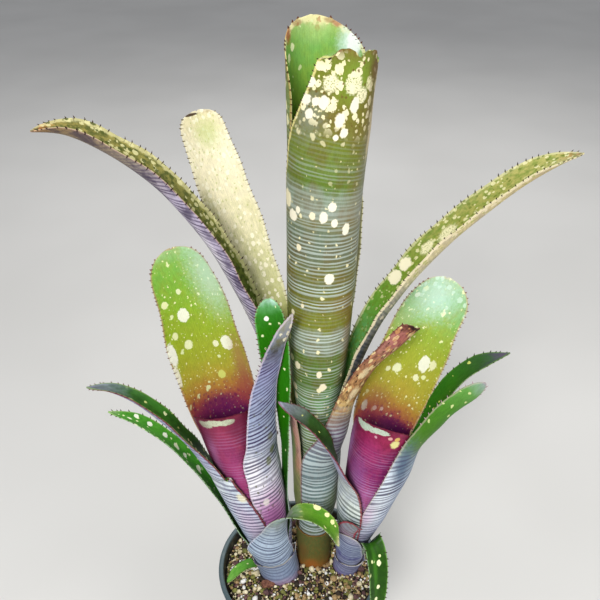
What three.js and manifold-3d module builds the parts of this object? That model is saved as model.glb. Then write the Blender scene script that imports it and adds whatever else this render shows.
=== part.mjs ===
import * as THREE from 'three';
import Module from 'manifold-3d';

// A potted bromeliad: a mother plant and two pups in one round pot.
// Millimetres, +Z up, origin at the middle of the pot's underside.

// Pot and potting mix.
const POT_HEIGHT = 96;
const POT_RIM_RADIUS = 57;
const POT_BASE_RADIUS = 42;
const POT_WALL = 1.6;
const POT_FLOOR = 3;
const POT_SIDES = 40;
const LIP_HEIGHT = 3.2;
const LIP_OUT = 1.7;
const DRAIN_RADIUS = 4;
const DRAIN_RING = 28;
const DRAIN_COUNT = 6;
const SOIL_Z = 88;
const FIT_GAP = 0.4;
const SOIL_RINGS = 6;
const SOIL_SIDES = 24;
const SOIL_BUMP = 0.8;
const GRAIN_COUNT = 26;
const GRAIN_SEED = 20260;

// Leaves.
const SHEATH_FOOT = -9;
const LEAF_THICKNESS = 0.8;
const MARGIN_THICKNESS = 0.65;
const TIP_ROWS = 3;
const SPINE_STEP = 18;
const SPINE_SIZE = 2.2;
const SPINE_FOOT = 1.5;

// Every plant stands on its own axis, which may lean and bend.
const MOTHER = plant({ x: 10.8, y: 13, leanX: 0, leanY: 0.087, bend: 4e-5 });
const LEFT_PUP = plant({ x: -14, y: 2, leanX: -0.225, leanY: 0.165, bend: 0 });
const RIGHT_PUP = plant({ x: 34, y: 5, leanX: 0.15, leanY: 0.02, bend: 0 });

// Finish of each slot: colour, roughness, metalness.
const FINISHES = {
  tube_green: [0x6f7f45, 0.42, 0],
  inner_teal: [0x7f9a6c, 0.4, 0],
  cream_leaf: [0xc9c48a, 0.48, 0],
  arching_leaf: [0x9aa05c, 0.45, 0],
  cut_leaf: [0xa58a55, 0.6, 0],
  base_sheath: [0x6b5a30, 0.6, 0],
  silver_sheath: [0xa9b0c4, 0.5, 0],
  cup_magenta: [0x8a2450, 0.38, 0],
  pup_leaf: [0x86a33c, 0.38, 0],
  spotted_green: [0x3c7a2a, 0.42, 0],
  dark_green: [0x2f4a26, 0.45, 0],
  stem_tissue: [0xb9b48c, 0.7, 0],
  pot_plastic: [0x46575c, 0.45, 0],
  potting_mix: [0x8d8570, 0.95, 0],
};

// sheath rows: height on the axis, radius, wrap to the left, wrap to the right, and a turn.
// blade rows: x, y, z, width to the left, width to the right, roll radius, facing angle.
// Left and right are as seen from outside the plant; angles are in degrees.
const LEAVES = [
  {
    name: 'mother_front_leaf', plant: MOTHER, slot: 'tube_green', face: -80, columns: 12,
    step: 34, tip: 8, blunt: 3.2, end: 0.78, spineFrom: 250,
    sheath: [
      [6, 4.3, 100, 100, 0], [34, 5.4, 100, 100, 0], [48, 7.6, 100, 100, 0], [62, 9.4, 100, 100, 0],
      [82, 10.0, 100, 100, 0], [122, 12.0, 100, 100, 0], [142, 14.4, 100, 100, 0],
      [160, 16.7, 102, 100, 0], [180, 18.2, 104, 100, 0], [216, 19.6, 105, 102, 0],
      [250, 20.2, 110, 102, 2], [280, 20.9, 104, 100, 6], [303, 22.2, 90, 76, 14],
      [320, 23.0, 78, 55, 22], [338, 23.6, 66, 45, 29], [356, 24.2, 54, 40, 34],
    ],
  },
  {
    name: 'mother_back_leaf', plant: MOTHER, slot: 'inner_teal', face: 110, columns: 10,
    step: 36, tip: 38, blunt: 1.8, end: 0.2, spineFrom: 250,
    sheath: [
      [9, 3.1, 95, 95, 0], [34, 4.1, 95, 95, 0], [48, 6.2, 95, 95, 0], [62, 8.0, 95, 95, 0],
      [82, 8.6, 95, 95, 0], [122, 10.6, 95, 95, 0], [142, 13.0, 95, 95, 0], [160, 15.3, 95, 95, 0],
      [180, 16.8, 95, 95, 0], [216, 18.1, 96, 95, 0], [250, 18.7, 98, 95, 0], [280, 19.4, 98, 95, 0],
      [303, 20.6, 104, 96, 0], [338, 22.0, 100, 98, 0], [367, 23.4, 84, 98, 0],
    ],
  },
  {
    name: 'mother_rear_leaf', plant: MOTHER, slot: 'cream_leaf', face: 62, columns: 7,
    step: 40, tip: 22, blunt: 2, end: 0.15, spineFrom: 190,
    sheath: [
      [SHEATH_FOOT, 5.5, 80, 80, 0], [34, 6.6, 75, 75, 0], [48, 8.8, 70, 70, 0], [62, 10.6, 65, 65, 0],
      [82, 11.2, 62, 62, 0], [122, 13.3, 55, 55, 0], [142, 15.8, 50, 50, 0], [160, 18.2, 45, 45, 0],
    ],
    blade: [
      [22.5, 51, 273, 13.5, 14, 21, 62], [26, 56, 310, 13.5, 14, 23, 62],
      [28, 60.5, 345, 12.5, 13, 24, 62], [28.5, 63, 370, 10, 10, 24, 62],
    ],
  },
  {
    name: 'mother_cream_leaf', plant: MOTHER, slot: 'cream_leaf', face: 140, columns: 7,
    step: 34, tip: 15, blunt: 2.8, end: 0.4, spineFrom: 160,
    sheath: [
      [SHEATH_FOOT, 6.7, 80, 80, 0], [34, 7.8, 78, 78, 0], [48, 10.0, 75, 75, 0], [62, 11.9, 72, 70, 0],
      [82, 12.5, 70, 66, 0], [122, 15.0, 60, 46, 0], [142, 19.2, 52, 32, 0],
    ],
    blade: [
      [-9, 47.5, 245, 16, 11, 20, 134], [-21, 57, 272, 17, 15.5, 22, 124], [-31, 68, 301, 17, 17, 24, 114],
      [-39, 78, 325, 17, 17, 26, 110], [-49, 88, 351, 16.5, 16.5, 26, 108],
      [-57, 98, 373, 15, 15, 26, 108], [-62, 104, 389, 13.5, 13.5, 26, 108],
    ],
  },
  {
    name: 'mother_left_arching_leaf', plant: MOTHER, slot: 'arching_leaf', face: 184, columns: 8,
    step: 28, tip: 24, blunt: 2.1, end: 0.12, spineFrom: 150,
    sheath: [
      [SHEATH_FOOT, 9.1, 80, 88, 0], [34, 10.3, 80, 82, 0], [48, 12.6, 78, 70, 0], [62, 14.5, 70, 55, 0],
      [82, 15.1, 62, 50, 0], [122, 17.4, 34, 44, 0],
    ],
    blade: [
      [-14, 23.5, 247, 5.5, 14, 16, 184], [-25, 28, 276, 13, 15, 14.5, 184],
      [-35, 31, 301, 17, 16.5, 14, 184], [-50, 32, 334, 17, 17, 13.5, 184], [-65, 33, 357, 16.5, 16.5, 13, 184],
      [-79, 33, 374, 16, 16, 12.5, 184], [-98, 32, 390, 14.5, 14.5, 12, 184],
      [-118, 31, 401, 12.5, 12.5, 11, 184], [-136, 30, 403, 10, 10, 10, 184],
    ],
  },
  {
    name: 'mother_right_arching_leaf', plant: MOTHER, slot: 'arching_leaf', face: 2, columns: 9,
    step: 30, tip: 26, blunt: 1.6, end: 0.12, spineFrom: 150,
    sheath: [
      [SHEATH_FOOT, 7.9, 130, 80, 0], [34, 9.05, 125, 80, 0], [48, 11.3, 122, 75, 0],
      [62, 13.2, 118, 70, 0], [82, 13.8, 110, 68, 0], [122, 16.0, 76, 64, 0],
    ],
    blade: [
      [30, 26, 229, 18, 18, 18, 2], [39, 29, 258, 17.5, 17, 15, 2], [49, 31, 284, 17, 17, 14, 2],
      [60, 32, 304, 16.5, 16.5, 13.5, 2], [70, 33, 319, 16.5, 16.5, 13, 2], [86, 35, 338, 16, 16, 12.5, 2],
      [101, 36, 353, 15, 15, 12.5, 2], [120, 37, 370, 13.5, 13.5, 12, 2],
      [138, 38, 382, 11.5, 11.5, 11, 2], [151, 38, 388, 8.5, 8.5, 10, 2],
    ],
  },
  {
    name: 'mother_cut_leaf', plant: MOTHER, slot: 'cut_leaf', face: -75, columns: 8,
    step: 20, tip: 3, blunt: 4, end: 0.7, spineFrom: 140,
    sheath: [
      [SHEATH_FOOT, 10.3, 100, 100, 0], [34, 11.5, 88, 95, 0], [48, 13.9, 58, 85, 0],
      [62, 15.9, 52, 84, 0], [82, 16.5, 52, 78, 0], [102, 17.2, 50, 62, 4],
    ],
    blade: [
      [24, 8, 209, 12, 12, 16, -60], [30.5, 11, 235, 9.5, 9.5, 14, -54], [42, 14, 259, 9.4, 9.4, 14, -56],
      [55, 15, 275, 9.6, 9.6, 14, -62], [68, 15.5, 291, 9.4, 9.4, 14, -66],
    ],
  },
  {
    name: 'mother_base_sheath', plant: MOTHER, slot: 'base_sheath', face: -90, columns: 14,
    step: 20, tip: 6, blunt: 4, end: 0.7, spineFrom: 999,
    sheath: [[SHEATH_FOOT, 11.6, 140, 140, 0], [33, 13.0, 130, 130, 0]],
  },
  {
    name: 'left_back_leaf', plant: LEFT_PUP, slot: 'pup_leaf', face: 112, columns: 8,
    step: 28, tip: 17, blunt: 2.5, end: 0.3, spineFrom: 110,
    sheath: [
      [SHEATH_FOOT, 5.9, 80, 80, 0], [8, 6.7, 80, 80, 0], [33, 10.9, 80, 80, 0],
      [62, 15.8, 80, 80, 0], [76, 17.6, 80, 78, 0], [105, 20.2, 75, 70, 0],
    ],
    blade: [
      [-51, 43, 208, 27, 27, 24, 106], [-55.5, 49, 228, 28.5, 27, 29, 100], [-61, 54, 253, 27, 27, 31, 96],
      [-67, 58, 282, 24, 24, 31, 95], [-73, 60, 303, 20.5, 20.5, 30, 95], [-78, 61, 318, 17.5, 17.5, 29, 95],
    ],
  },
  {
    name: 'left_cup_leaf', plant: LEFT_PUP, slot: 'cup_magenta', face: -100, columns: 9,
    step: 24, tip: 26, blunt: 2, end: 0.25, spineFrom: 110,
    sheath: [
      [SHEATH_FOOT, 7.2, 85, 85, 0], [8, 8.0, 85, 85, 0], [33, 12.2, 85, 85, 0], [62, 17.1, 84, 85, 0],
      [76, 18.9, 82, 86, 0], [105, 21.5, 80, 86, 0], [120, 22.6, 78, 84, 0], [136, 23.4, 78, 84, 0],
      [143, 24.2, 78, 84, 0], [148, 25.8, 78, 84, 0],
    ],
  },
  {
    name: 'left_silver_leaf', plant: LEFT_PUP, slot: 'silver_sheath', face: -45, columns: 7,
    step: 27, tip: 15, blunt: 1.4, end: 0.15, spineFrom: 60,
    sheath: [
      [SHEATH_FOOT, 8.5, 90, 80, 0], [8, 9.3, 80, 80, 0], [33, 13.5, 46, 78, 0],
      [62, 18.4, 35, 72, 0], [76, 20.3, 42, 66, 0], [105, 23.4, 38, 52, 0],
    ],
    blade: [
      [-21.5, 1, 212, 12, 13, 20, -56], [-21.5, 3, 234, 9.8, 10.5, 17, -64], [-19.5, 3.5, 254, 8.2, 8.6, 13, -70],
      [-15.5, 3.5, 272, 6.6, 6.6, 11, -72], [-10.6, 3, 289.8, 5, 5, 9, -72], [-3.5, 4, 308.6, 3.6, 3.6, 8, -70],
    ],
  },
  {
    name: 'left_arching_leaf', plant: LEFT_PUP, slot: 'dark_green', face: 212, columns: 8,
    step: 25, tip: 18, blunt: 1.5, end: 0.15, spineFrom: 60,
    sheath: [
      [SHEATH_FOOT, 9.8, 80, 100, 0], [8, 10.6, 80, 100, 0], [33, 15.2, 72, 86, -2],
      [62, 20.3, 56, 75, -8], [76, 22.6, 44, 71, -12], [90, 24.8, 34, 66, -17], [100, 26.4, 26, 58, -21],
    ],
    blade: [
      [-73, 11.5, 205, 9.5, 14, 15, 188], [-87.6, 11, 225, 10, 11, 11, 187],
      [-101.2, 10.5, 239.8, 8.5, 9, 9, 187], [-114.9, 10, 248.6, 6.5, 6.5, 8, 187],
      [-127.6, 9, 251.5, 4.5, 4.5, 7, 187],
    ],
  },
  {
    name: 'left_spotted_leaf', plant: LEFT_PUP, slot: 'spotted_green', face: 178, columns: 5,
    step: 22, tip: 20, blunt: 1.5, end: 0.15, spineFrom: 60,
    sheath: [
      [SHEATH_FOOT, 11.1, 62, 50, 0], [8, 11.9, 60, 50, 0], [33, 16.8, 46, 42, 0], [45, 20.2, 38, 36, 0],
    ],
    blade: [
      [-51, 11, 144, 9.5, 9.5, 15, 178], [-58, 12, 158, 8.8, 8.8, 12, 178], [-69, 13, 178, 8.4, 8.4, 11, 178],
      [-83, 13, 200, 8, 8, 10, 178], [-100, 12, 219, 6.8, 6.8, 9, 178], [-118, 10, 231, 4.4, 4.4, 8, 178],
    ],
  },
  {
    name: 'left_side_leaf', plant: LEFT_PUP, slot: 'spotted_green', face: 14, columns: 6,
    step: 30, tip: 16, blunt: 2.1, end: 0.15, spineFrom: 120,
    sheath: [
      [SHEATH_FOOT, 11.1, 66, 66, 0], [8, 11.9, 62, 64, 0], [33, 16.6, 42, 45, 0], [45, 19.4, 32, 32, 0],
    ],
    blade: [
      [-8.3, 16, 154, 7, 7, 20, 18], [-8.3, 15.5, 194, 5.5, 5.5, 20, 26], [-9.6, 13.5, 237.5, 6.5, 6.5, 21, 50],
      [-13, 12, 271.5, 9.3, 9.3, 20, 74], [-15.5, 12.6, 294.3, 9.6, 9.6, 18, 80],
      [-16.7, 12.6, 313.2, 8.4, 8.4, 16, 82],
    ],
  },
  {
    name: 'left_scale_leaf', plant: LEFT_PUP, slot: 'spotted_green', face: -86, columns: 8,
    step: 15, tip: 15, blunt: 1.5, end: 0.15, spineFrom: 62,
    sheath: [
      [SHEATH_FOOT, 12.4, 88, 86, 0], [8, 13.3, 82, 80, 0], [20, 15.9, 70, 66, 0], [33, 19.6, 50, 46, 4],
    ],
    blade: [
      [-15.5, -13, 142, 11, 11, 15, -70], [-11, -14.5, 157, 9, 9, 13, -56], [-2, -15.5, 166, 8, 8, 11, -42],
      [10, -16.5, 166, 7.5, 7.5, 10, -30], [20, -17.5, 156, 6.2, 6.2, 9, -26], [26, -18, 139, 4.4, 4.4, 8, -25],
    ],
  },
  {
    name: 'left_base_ring', plant: LEFT_PUP, slot: 'silver_sheath', face: -80, columns: 11,
    step: 14, tip: 6, blunt: 3, end: 0.6, spineFrom: 999,
    sheath: [[SHEATH_FOOT, 13.6, 112, 112, 0], [8, 14.6, 104, 104, 0], [17, 16.6, 88, 88, 0]],
  },
  {
    name: 'left_soil_leaf', plant: LEFT_PUP, slot: 'spotted_green', face: 200, columns: 4,
    step: 8, tip: 10, blunt: 1.8, end: 0.2, spineFrom: 8,
    blade: [
      [-32.6, 3.0, 91.4, 4.6, 4.6, 14, 190], [-37.5, 0, 93.2, 4.8, 4.8, 14, 200],
      [-43.5, -5, 93.6, 4.6, 4.6, 13, 212], [-50, -13, 92.2, 3.6, 3.6, 12, 225],
    ],
  },
  {
    name: 'right_back_leaf', plant: RIGHT_PUP, slot: 'pup_leaf', face: 62, columns: 8,
    step: 28, tip: 17, blunt: 2.5, end: 0.25, spineFrom: 110,
    sheath: [
      [15, 3.2, 80, 80, 0], [20, 4.2, 80, 80, 0], [33, 6.9, 80, 80, 0], [62, 12.9, 80, 80, 0],
      [76, 14.7, 78, 80, 0], [105, 17.3, 70, 73, 0],
    ],
    blade: [
      [58, 30, 205, 22, 25, 22, 70], [61, 34, 221, 23, 26, 26, 76], [68, 39, 243, 24, 25, 28, 80],
      [76, 43, 270, 23, 23, 29, 84], [85, 47, 290, 20, 20, 29, 85], [89.5, 48, 305, 16, 16, 28, 85],
    ],
  },
  {
    name: 'right_cup_leaf', plant: RIGHT_PUP, slot: 'cup_magenta', face: -105, columns: 9,
    step: 24, tip: 26, blunt: 2, end: 0.25, spineFrom: 110,
    sheath: [
      [12, 3.9, 85, 85, 0], [20, 5.45, 85, 85, 0], [33, 8.15, 85, 85, 0], [62, 14.15, 85, 85, 0],
      [76, 15.95, 86, 82, 0], [105, 18.5, 86, 72, 0], [120, 19.5, 84, 68, 0], [136, 20.2, 82, 66, 0],
      [143, 20.9, 82, 66, 0], [151, 22.6, 82, 66, 0],
    ],
  },
  {
    name: 'right_spotted_leaf', plant: RIGHT_PUP, slot: 'spotted_green', face: 14, columns: 7,
    step: 27, tip: 20, blunt: 1.5, end: 0.15, spineFrom: 95,
    sheath: [
      [9, 4.55, 75, 75, 0], [20, 6.7, 72, 72, 0], [33, 9.4, 70, 70, 0], [62, 15.4, 58, 60, 0],
      [76, 17.2, 48, 52, 0], [105, 20.6, 30, 36, 0],
    ],
    blade: [
      [79.5, 14, 213, 7, 7, 18, 12], [86, 15.5, 230, 8.5, 8.5, 14, 8], [94, 15, 246, 9.5, 9, 11, 6],
      [103, 14, 260, 8.4, 8.4, 10, 5], [113, 13, 269, 6.6, 6.6, 9, 5], [124, 12, 275, 4.4, 4.4, 8, 5],
    ],
  },
  {
    name: 'right_silver_leaf', plant: RIGHT_PUP, slot: 'silver_sheath', face: -25, columns: 7,
    step: 24, tip: 14, blunt: 1.8, end: 0.25, spineFrom: 110,
    sheath: [
      [SHEATH_FOOT, 4.0, 92, 70, 0], [4, 4.8, 92, 70, 0], [20, 7.95, 88, 68, 0], [33, 10.65, 84, 66, 0],
      [62, 16.7, 75, 56, 0], [76, 18.7, 71, 44, -4], [105, 23.0, 52, 28, -12],
    ],
    blade: [
      [71, -7.2, 211.5, 14.5, 8, 20, -44], [77.5, -9, 228.7, 11.8, 8.5, 16, -56], [86, -7, 242, 9.6, 9, 13, -68],
      [97, -6, 255, 8.4, 8.4, 12, -78], [107, -5, 267, 6.4, 6.4, 11, -80],
    ],
  },
  {
    name: 'right_crossing_leaf', plant: RIGHT_PUP, slot: 'dark_green', face: -155, columns: 7,
    step: 23, tip: 18, blunt: 1.5, end: 0.15, spineFrom: 85,
    sheath: [
      [SHEATH_FOOT, 5.2, 80, 75, 0], [4, 6.0, 76, 75, 0], [20, 9.2, 64, 72, 0], [33, 11.9, 50, 66, 0],
      [62, 18.0, 38, 57, 0], [76, 19.9, 34, 50, 0], [90, 21.8, 28, 40, -2],
    ],
    blade: [
      [23, -7, 200, 9.5, 10, 14, -166], [16.5, -8.5, 219, 9.2, 9.2, 12, -178],
      [8, -7.5, 233, 8.6, 8.6, 11, -186], [-1, -6.5, 243, 7.2, 7.2, 10, -192], [-12, -6, 253, 4.6, 4.6, 9, -196],
    ],
  },
  {
    name: 'right_drooping_leaf', plant: RIGHT_PUP, slot: 'spotted_green', face: -52, columns: 5,
    step: 12, tip: 16, blunt: 1.6, end: 0.2, spineFrom: 50,
    sheath: [
      [SHEATH_FOOT, 6.4, 30, 58, 0], [4, 7.2, 28, 54, 0], [20, 10.45, 24, 46, 0], [33, 13.6, 22, 38, 0],
      [40, 15.8, 22, 32, 0],
    ],
    blade: [
      [48.4, -12.2, 133, 6.8, 8.4, 13, -56], [49.5, -16, 131.5, 8, 8.6, 12, -60], [51, -21.5, 123, 8.2, 8.4, 12, -62],
      [52, -26.5, 109, 7.6, 7.6, 12, -62], [52, -30.5, 96, 6.2, 6.2, 11, -62], [50.5, -33, 84, 4.4, 4.4, 10, -62],
    ],
  },
  {
    name: 'right_small_leaf', plant: RIGHT_PUP, slot: 'dark_green', face: -140, columns: 4,
    step: 14, tip: 9, blunt: 1.6, end: 0.2, spineFrom: 50,
    sheath: [
      [SHEATH_FOOT, 6.4, 40, 34, 0], [4, 7.2, 38, 32, 0], [20, 10.45, 34, 30, 0], [33, 13.2, 30, 30, 3],
      [44, 16.0, 26, 28, 8],
    ],
    blade: [
      [31.5, -11.5, 146, 6.5, 6.5, 12, -122], [35.5, -14.5, 152, 5.6, 5.6, 10, -108],
      [41, -16.5, 153, 4.2, 4.2, 8, -92],
    ],
  },
  {
    name: 'right_scale_leaf', plant: RIGHT_PUP, slot: 'silver_sheath', face: -113, columns: 8,
    step: 16, tip: 17, blunt: 2, end: 0.25, spineFrom: 999,
    sheath: [
      [SHEATH_FOOT, 7.55, 85, 85, 0], [4, 8.4, 80, 80, 0], [20, 11.7, 62, 60, 0], [33, 14.9, 48, 38, 0],
      [50, 19.4, 38, 28, 0],
    ],
  },
  {
    name: 'right_base_ring', plant: RIGHT_PUP, slot: 'silver_sheath', face: -80, columns: 10,
    step: 14, tip: 6, blunt: 3, end: 0.6, spineFrom: 999,
    sheath: [[SHEATH_FOOT, 8.85, 112, 112, 0], [4, 9.8, 104, 104, 0], [13, 12.0, 86, 86, 0]],
  },
];

const STEMS = [
  { name: 'mother_stem', plant: MOTHER, radius: 4.2, topRadius: 1.4, shoulder: -2, top: 15 },
  { name: 'left_stem', plant: LEFT_PUP, radius: 4.5, topRadius: 3.2, shoulder: 2, top: 12 },
  { name: 'right_stem', plant: RIGHT_PUP, radius: 2.6, topRadius: 1.8, shoulder: 2, top: 14 },
];

const HOLES = [
  { plant: MOTHER, radius: 12.1 },
  { plant: LEFT_PUP, radius: 14.5 },
  { plant: RIGHT_PUP, radius: 9.6 },
];

function rad(degrees) {
  return degrees * Math.PI / 180;
}

function plant({ x, y, leanX, leanY, bend }) {
  const along = new THREE.Vector3(leanX, leanY, 1).normalize();
  const tilt = new THREE.Quaternion().setFromUnitVectors(new THREE.Vector3(0, 0, 1), along);
  return { base: new THREE.Vector3(x, y, SOIL_Z), tilt, bend };
}

function seeded(seed) {
  let state = seed >>> 0;
  return () => {
    state = (Math.imul(state, 1664525) + 1013904223) >>> 0;
    return state / 4294967296;
  };
}

// A point at a height on the plant's axis, out from it by a radius at a facing angle.
function onAxis(stand, up, radius, face) {
  const spot = new THREE.Vector3(Math.cos(rad(face)) * radius, Math.sin(rad(face)) * radius, up);
  spot.applyQuaternion(stand.tilt);
  spot.x += stand.bend * up * up;
  return spot.add(stand.base);
}

// Turns both kinds of rows into the same list: place, widths, curvature, facing angle.
function stations(leaf) {
  const list = [];
  for (const [up, radius, left, right, turn] of leaf.sheath ?? []) {
    const spot = onAxis(leaf.plant, up, radius, leaf.face + turn);
    list.push([spot.x, spot.y, spot.z, radius * rad(left), radius * rad(right), 1 / radius, leaf.face + turn]);
  }
  for (const [x, y, z, left, right, roll, face] of leaf.blade ?? []) {
    list.push([x, y, z, left, right, 1 / roll, face]);
  }
  return list;
}

// Catmull-Rom through all values of the stations at once.
function blend(list, t) {
  const last = list.length - 1;
  const k = Math.min(Math.floor(t), last - 1);
  const f = t - k;
  const p0 = list[Math.max(k - 1, 0)];
  const p1 = list[k];
  const p2 = list[k + 1];
  const p3 = list[Math.min(k + 2, last)];
  return p1.map((value, i) => {
    const a = p2[i] - p0[i];
    const b = 2 * p0[i] - 5 * value + 4 * p2[i] - p3[i];
    const c = 3 * value - p0[i] - 3 * p2[i] + p3[i];
    return value + 0.5 * f * (a + f * (b + f * c));
  });
}

// Rows: one at each sheath row, even steps in the blade, closer together in the rounded tip.
function leafRows(leaf, step, tipRows) {
  const list = stations(leaf);
  const fine = 24 * (list.length - 1);
  const samples = [];
  let length = 0;
  let before = null;
  for (let i = 0; i <= fine; i += 1) {
    const values = blend(list, i * (list.length - 1) / fine);
    const spot = new THREE.Vector3(values[0], values[1], values[2]);
    length += before ? spot.distanceTo(before) : 0;
    before = spot;
    samples.push({ values, spot, length });
  }
  const along = (distance) => {
    let i = 1;
    while (i < samples.length - 1 && samples[i].length < distance) {
      i += 1;
    }
    const a = samples[i - 1];
    const b = samples[i];
    const f = (distance - a.length) / (b.length - a.length);
    return a.values.map((value, n) => value + (b.values[n] - value) * f);
  };
  const start = length - leaf.tip;
  const knots = (leaf.sheath ?? []).map((row, n) => samples[24 * n].length).filter((at) => at < start - 4);
  knots.push(...(knots.length ? [start] : [0, start]));
  const distances = [];
  for (let k = 0; k < knots.length - 1; k += 1) {
    const parts = Math.max(1, Math.round((knots[k + 1] - knots[k]) / step));
    for (let i = 0; i < parts; i += 1) {
      distances.push(knots[k] + (knots[k + 1] - knots[k]) * i / parts);
    }
  }
  for (let i = 0; i <= tipRows; i += 1) {
    distances.push(length - leaf.tip * (1 - Math.sin(rad(90 * i / tipRows))));
  }
  return distances.map((distance) => {
    const values = along(distance);
    const ahead = along(Math.min(distance + 0.5, length));
    const behind = along(Math.max(distance - 0.5, 0));
    const inTip = Math.max(0, 1 - (length - distance) / leaf.tip);
    const round = Math.max(leaf.end, Math.pow(1 - Math.pow(inTip, leaf.blunt), 1 / leaf.blunt));
    const heading = new THREE.Vector3(
      ahead[0] - behind[0],
      ahead[1] - behind[1],
      ahead[2] - behind[2],
    ).normalize();
    const across = new THREE.Vector3(-Math.sin(rad(values[6])), Math.cos(rad(values[6])), 0);
    across.applyQuaternion(leaf.plant.tilt);
    across.addScaledVector(heading, -across.dot(heading)).normalize();
    const inward = new THREE.Vector3().crossVectors(heading, across);
    return {
      distance,
      spot: new THREE.Vector3(values[0], values[1], values[2]),
      left: values[3] * round,
      right: values[4] * round,
      curve: values[5],
      heading,
      across,
      inward,
    };
  });
}

// One point of a leaf's cross-section; face 0 is the outer side and 1 the inner side.
function sectionPoint(row, share, face) {
  const s = -row.left + (row.left + row.right) * share;
  const angle = s * row.curve;
  const edge = Math.abs(2 * share - 1);
  const thick = LEAF_THICKNESS + (MARGIN_THICKNESS - LEAF_THICKNESS) * edge * edge;
  const lift = (1 - Math.cos(angle)) / row.curve + face * thick * Math.cos(angle);
  const reach = Math.sin(angle) / row.curve - face * thick * Math.sin(angle);
  return row.spot.clone().addScaledVector(row.inward, lift).addScaledVector(row.across, reach);
}

// Collects points and triangles of one closed solid.
class Shell {
  constructor() {
    this.positions = [];
    this.indices = [];
  }

  point(spot) {
    this.positions.push(spot.x, spot.y, spot.z);
    return this.positions.length / 3 - 1;
  }

  get(index) {
    return new THREE.Vector3().fromArray(this.positions, index * 3);
  }

  span(a, b) {
    return this.get(a).distanceTo(this.get(b));
  }

  triangle(a, b, c) {
    this.indices.push(a, b, c);
  }

  quad(a, b, c, d) {
    this.triangle(a, b, c);
    this.triangle(a, c, d);
  }

  geometry() {
    const result = new THREE.BufferGeometry();
    result.setAttribute('position', new THREE.Float32BufferAttribute(this.positions, 3));
    result.setIndex(this.indices);
    result.computeVertexNormals();
    return result;
  }
}

// Splits one margin into edge pieces and marks the short ones that carry a spine.
function marginPieces(shell, outer, inner, column, leaf, rows) {
  const pieces = [];
  let run = 0;
  let next = leaf.spineFrom;
  for (let i = 0; i < rows.length - 1; i += 1) {
    const a = [outer[i][column], inner[i][column]];
    const b = [outer[i + 1][column], inner[i + 1][column]];
    const ends = [a, b].map((pair) => pair.map((index) => shell.get(index)));
    const size = ends[0][0].distanceTo(ends[1][0]);
    const cuts = [{ pair: a, spine: false }];
    while (next < run + size) {
      const middle = next - run;
      if (middle > SPINE_FOOT && middle < size - SPINE_FOOT) {
        for (const [shift, spine] of [[-0.5, true], [0.5, false]]) {
          const f = (middle + shift * SPINE_FOOT) / size;
          const pair = [0, 1].map((n) => shell.point(ends[0][n].clone().lerp(ends[1][n], f)));
          cuts.push({ pair, spine });
        }
        next += SPINE_STEP;
      } else {
        next += 1;
      }
    }
    cuts.push({ pair: b, spine: false });
    pieces.push(cuts);
    run += size;
  }
  return pieces;
}

function leafShell(leaf) {
  const rows = leafRows(leaf, leaf.step, TIP_ROWS);
  const columns = leaf.columns;
  const shell = new Shell();
  const face = (side) => rows.map((row) => {
    const line = [];
    for (let j = 0; j <= columns; j += 1) {
      line.push(shell.point(sectionPoint(row, j / columns, side)));
    }
    return line;
  });
  const outer = face(0);
  const inner = face(1);
  for (let i = 0; i < rows.length - 1; i += 1) {
    for (let j = 1; j < columns - 1; j += 1) {
      const rising = shell.span(outer[i][j], outer[i + 1][j + 1]) <= shell.span(outer[i][j + 1], outer[i + 1][j]);
      for (const [grid, turned] of [[outer, false], [inner, true]]) {
        const [a, b, c, d] = [grid[i][j], grid[i][j + 1], grid[i + 1][j + 1], grid[i + 1][j]];
        const corners = rising ? [a, b, c, d] : [b, c, d, a];
        shell.quad(...(turned ? [corners[0], corners[3], corners[2], corners[1]] : corners));
      }
    }
  }
  for (const side of [0, 1]) {
    addMargin(shell, outer, inner, side, leaf, rows);
  }
  const last = rows.length - 1;
  for (let j = 0; j < columns; j += 1) {
    shell.quad(outer[0][j], inner[0][j], inner[0][j + 1], outer[0][j + 1]);
    shell.quad(outer[last][j], outer[last][j + 1], inner[last][j + 1], inner[last][j]);
  }
  return shell.geometry();
}

// Adds the outermost column of both faces, the edge between them and its spines.
function addMargin(shell, outer, inner, side, leaf, rows) {
  const columns = leaf.columns;
  const column = side ? columns : 0;
  const beside = side ? columns - 1 : 1;
  const turned = (a, b, c) => (side ? shell.triangle(a, b, c) : shell.triangle(a, c, b));
  const pieces = marginPieces(shell, outer, inner, column, leaf, rows);
  pieces.forEach((cuts, i) => {
    const begin = cuts[0].pair;
    const end = cuts[cuts.length - 1].pair;
    const fromLow = shell.span(outer[i][beside], end[0]) <= shell.span(outer[i + 1][beside], begin[0]);
    const hub = fromLow ? i : i + 1;
    for (let n = 0; n < cuts.length - 1; n += 1) {
      const [a, b] = [cuts[n].pair, cuts[n + 1].pair];
      turned(outer[hub][beside], a[0], b[0]);
      turned(inner[hub][beside], b[1], a[1]);
      if (cuts[n].spine) {
        const tip = shell.point(spineTip(shell, a, b, rows[i], side));
        turned(a[0], a[1], tip);
        turned(a[1], b[1], tip);
        turned(b[1], b[0], tip);
        turned(b[0], a[0], tip);
      } else {
        turned(a[0], a[1], b[1]);
        turned(a[0], b[1], b[0]);
      }
    }
    const spare = fromLow ? end : begin;
    turned(outer[i][beside], spare[0], outer[i + 1][beside]);
    turned(inner[i][beside], inner[i + 1][beside], spare[1]);
  });
}

function spineTip(shell, a, b, row, side) {
  const [outA, inA, outB, inB] = [a[0], a[1], b[0], b[1]].map((index) => shell.get(index));
  const middle = outA.clone().add(inA).add(outB).add(inB).multiplyScalar(0.25);
  const forward = outB.clone().sub(outA).normalize();
  const skin = outA.clone().sub(inA).normalize();
  const away = new THREE.Vector3().crossVectors(forward, skin).multiplyScalar(side ? 1 : -1).normalize();
  return middle.addScaledVector(away, SPINE_SIZE * 0.88).addScaledVector(forward, SPINE_SIZE * 0.45);
}

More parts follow.
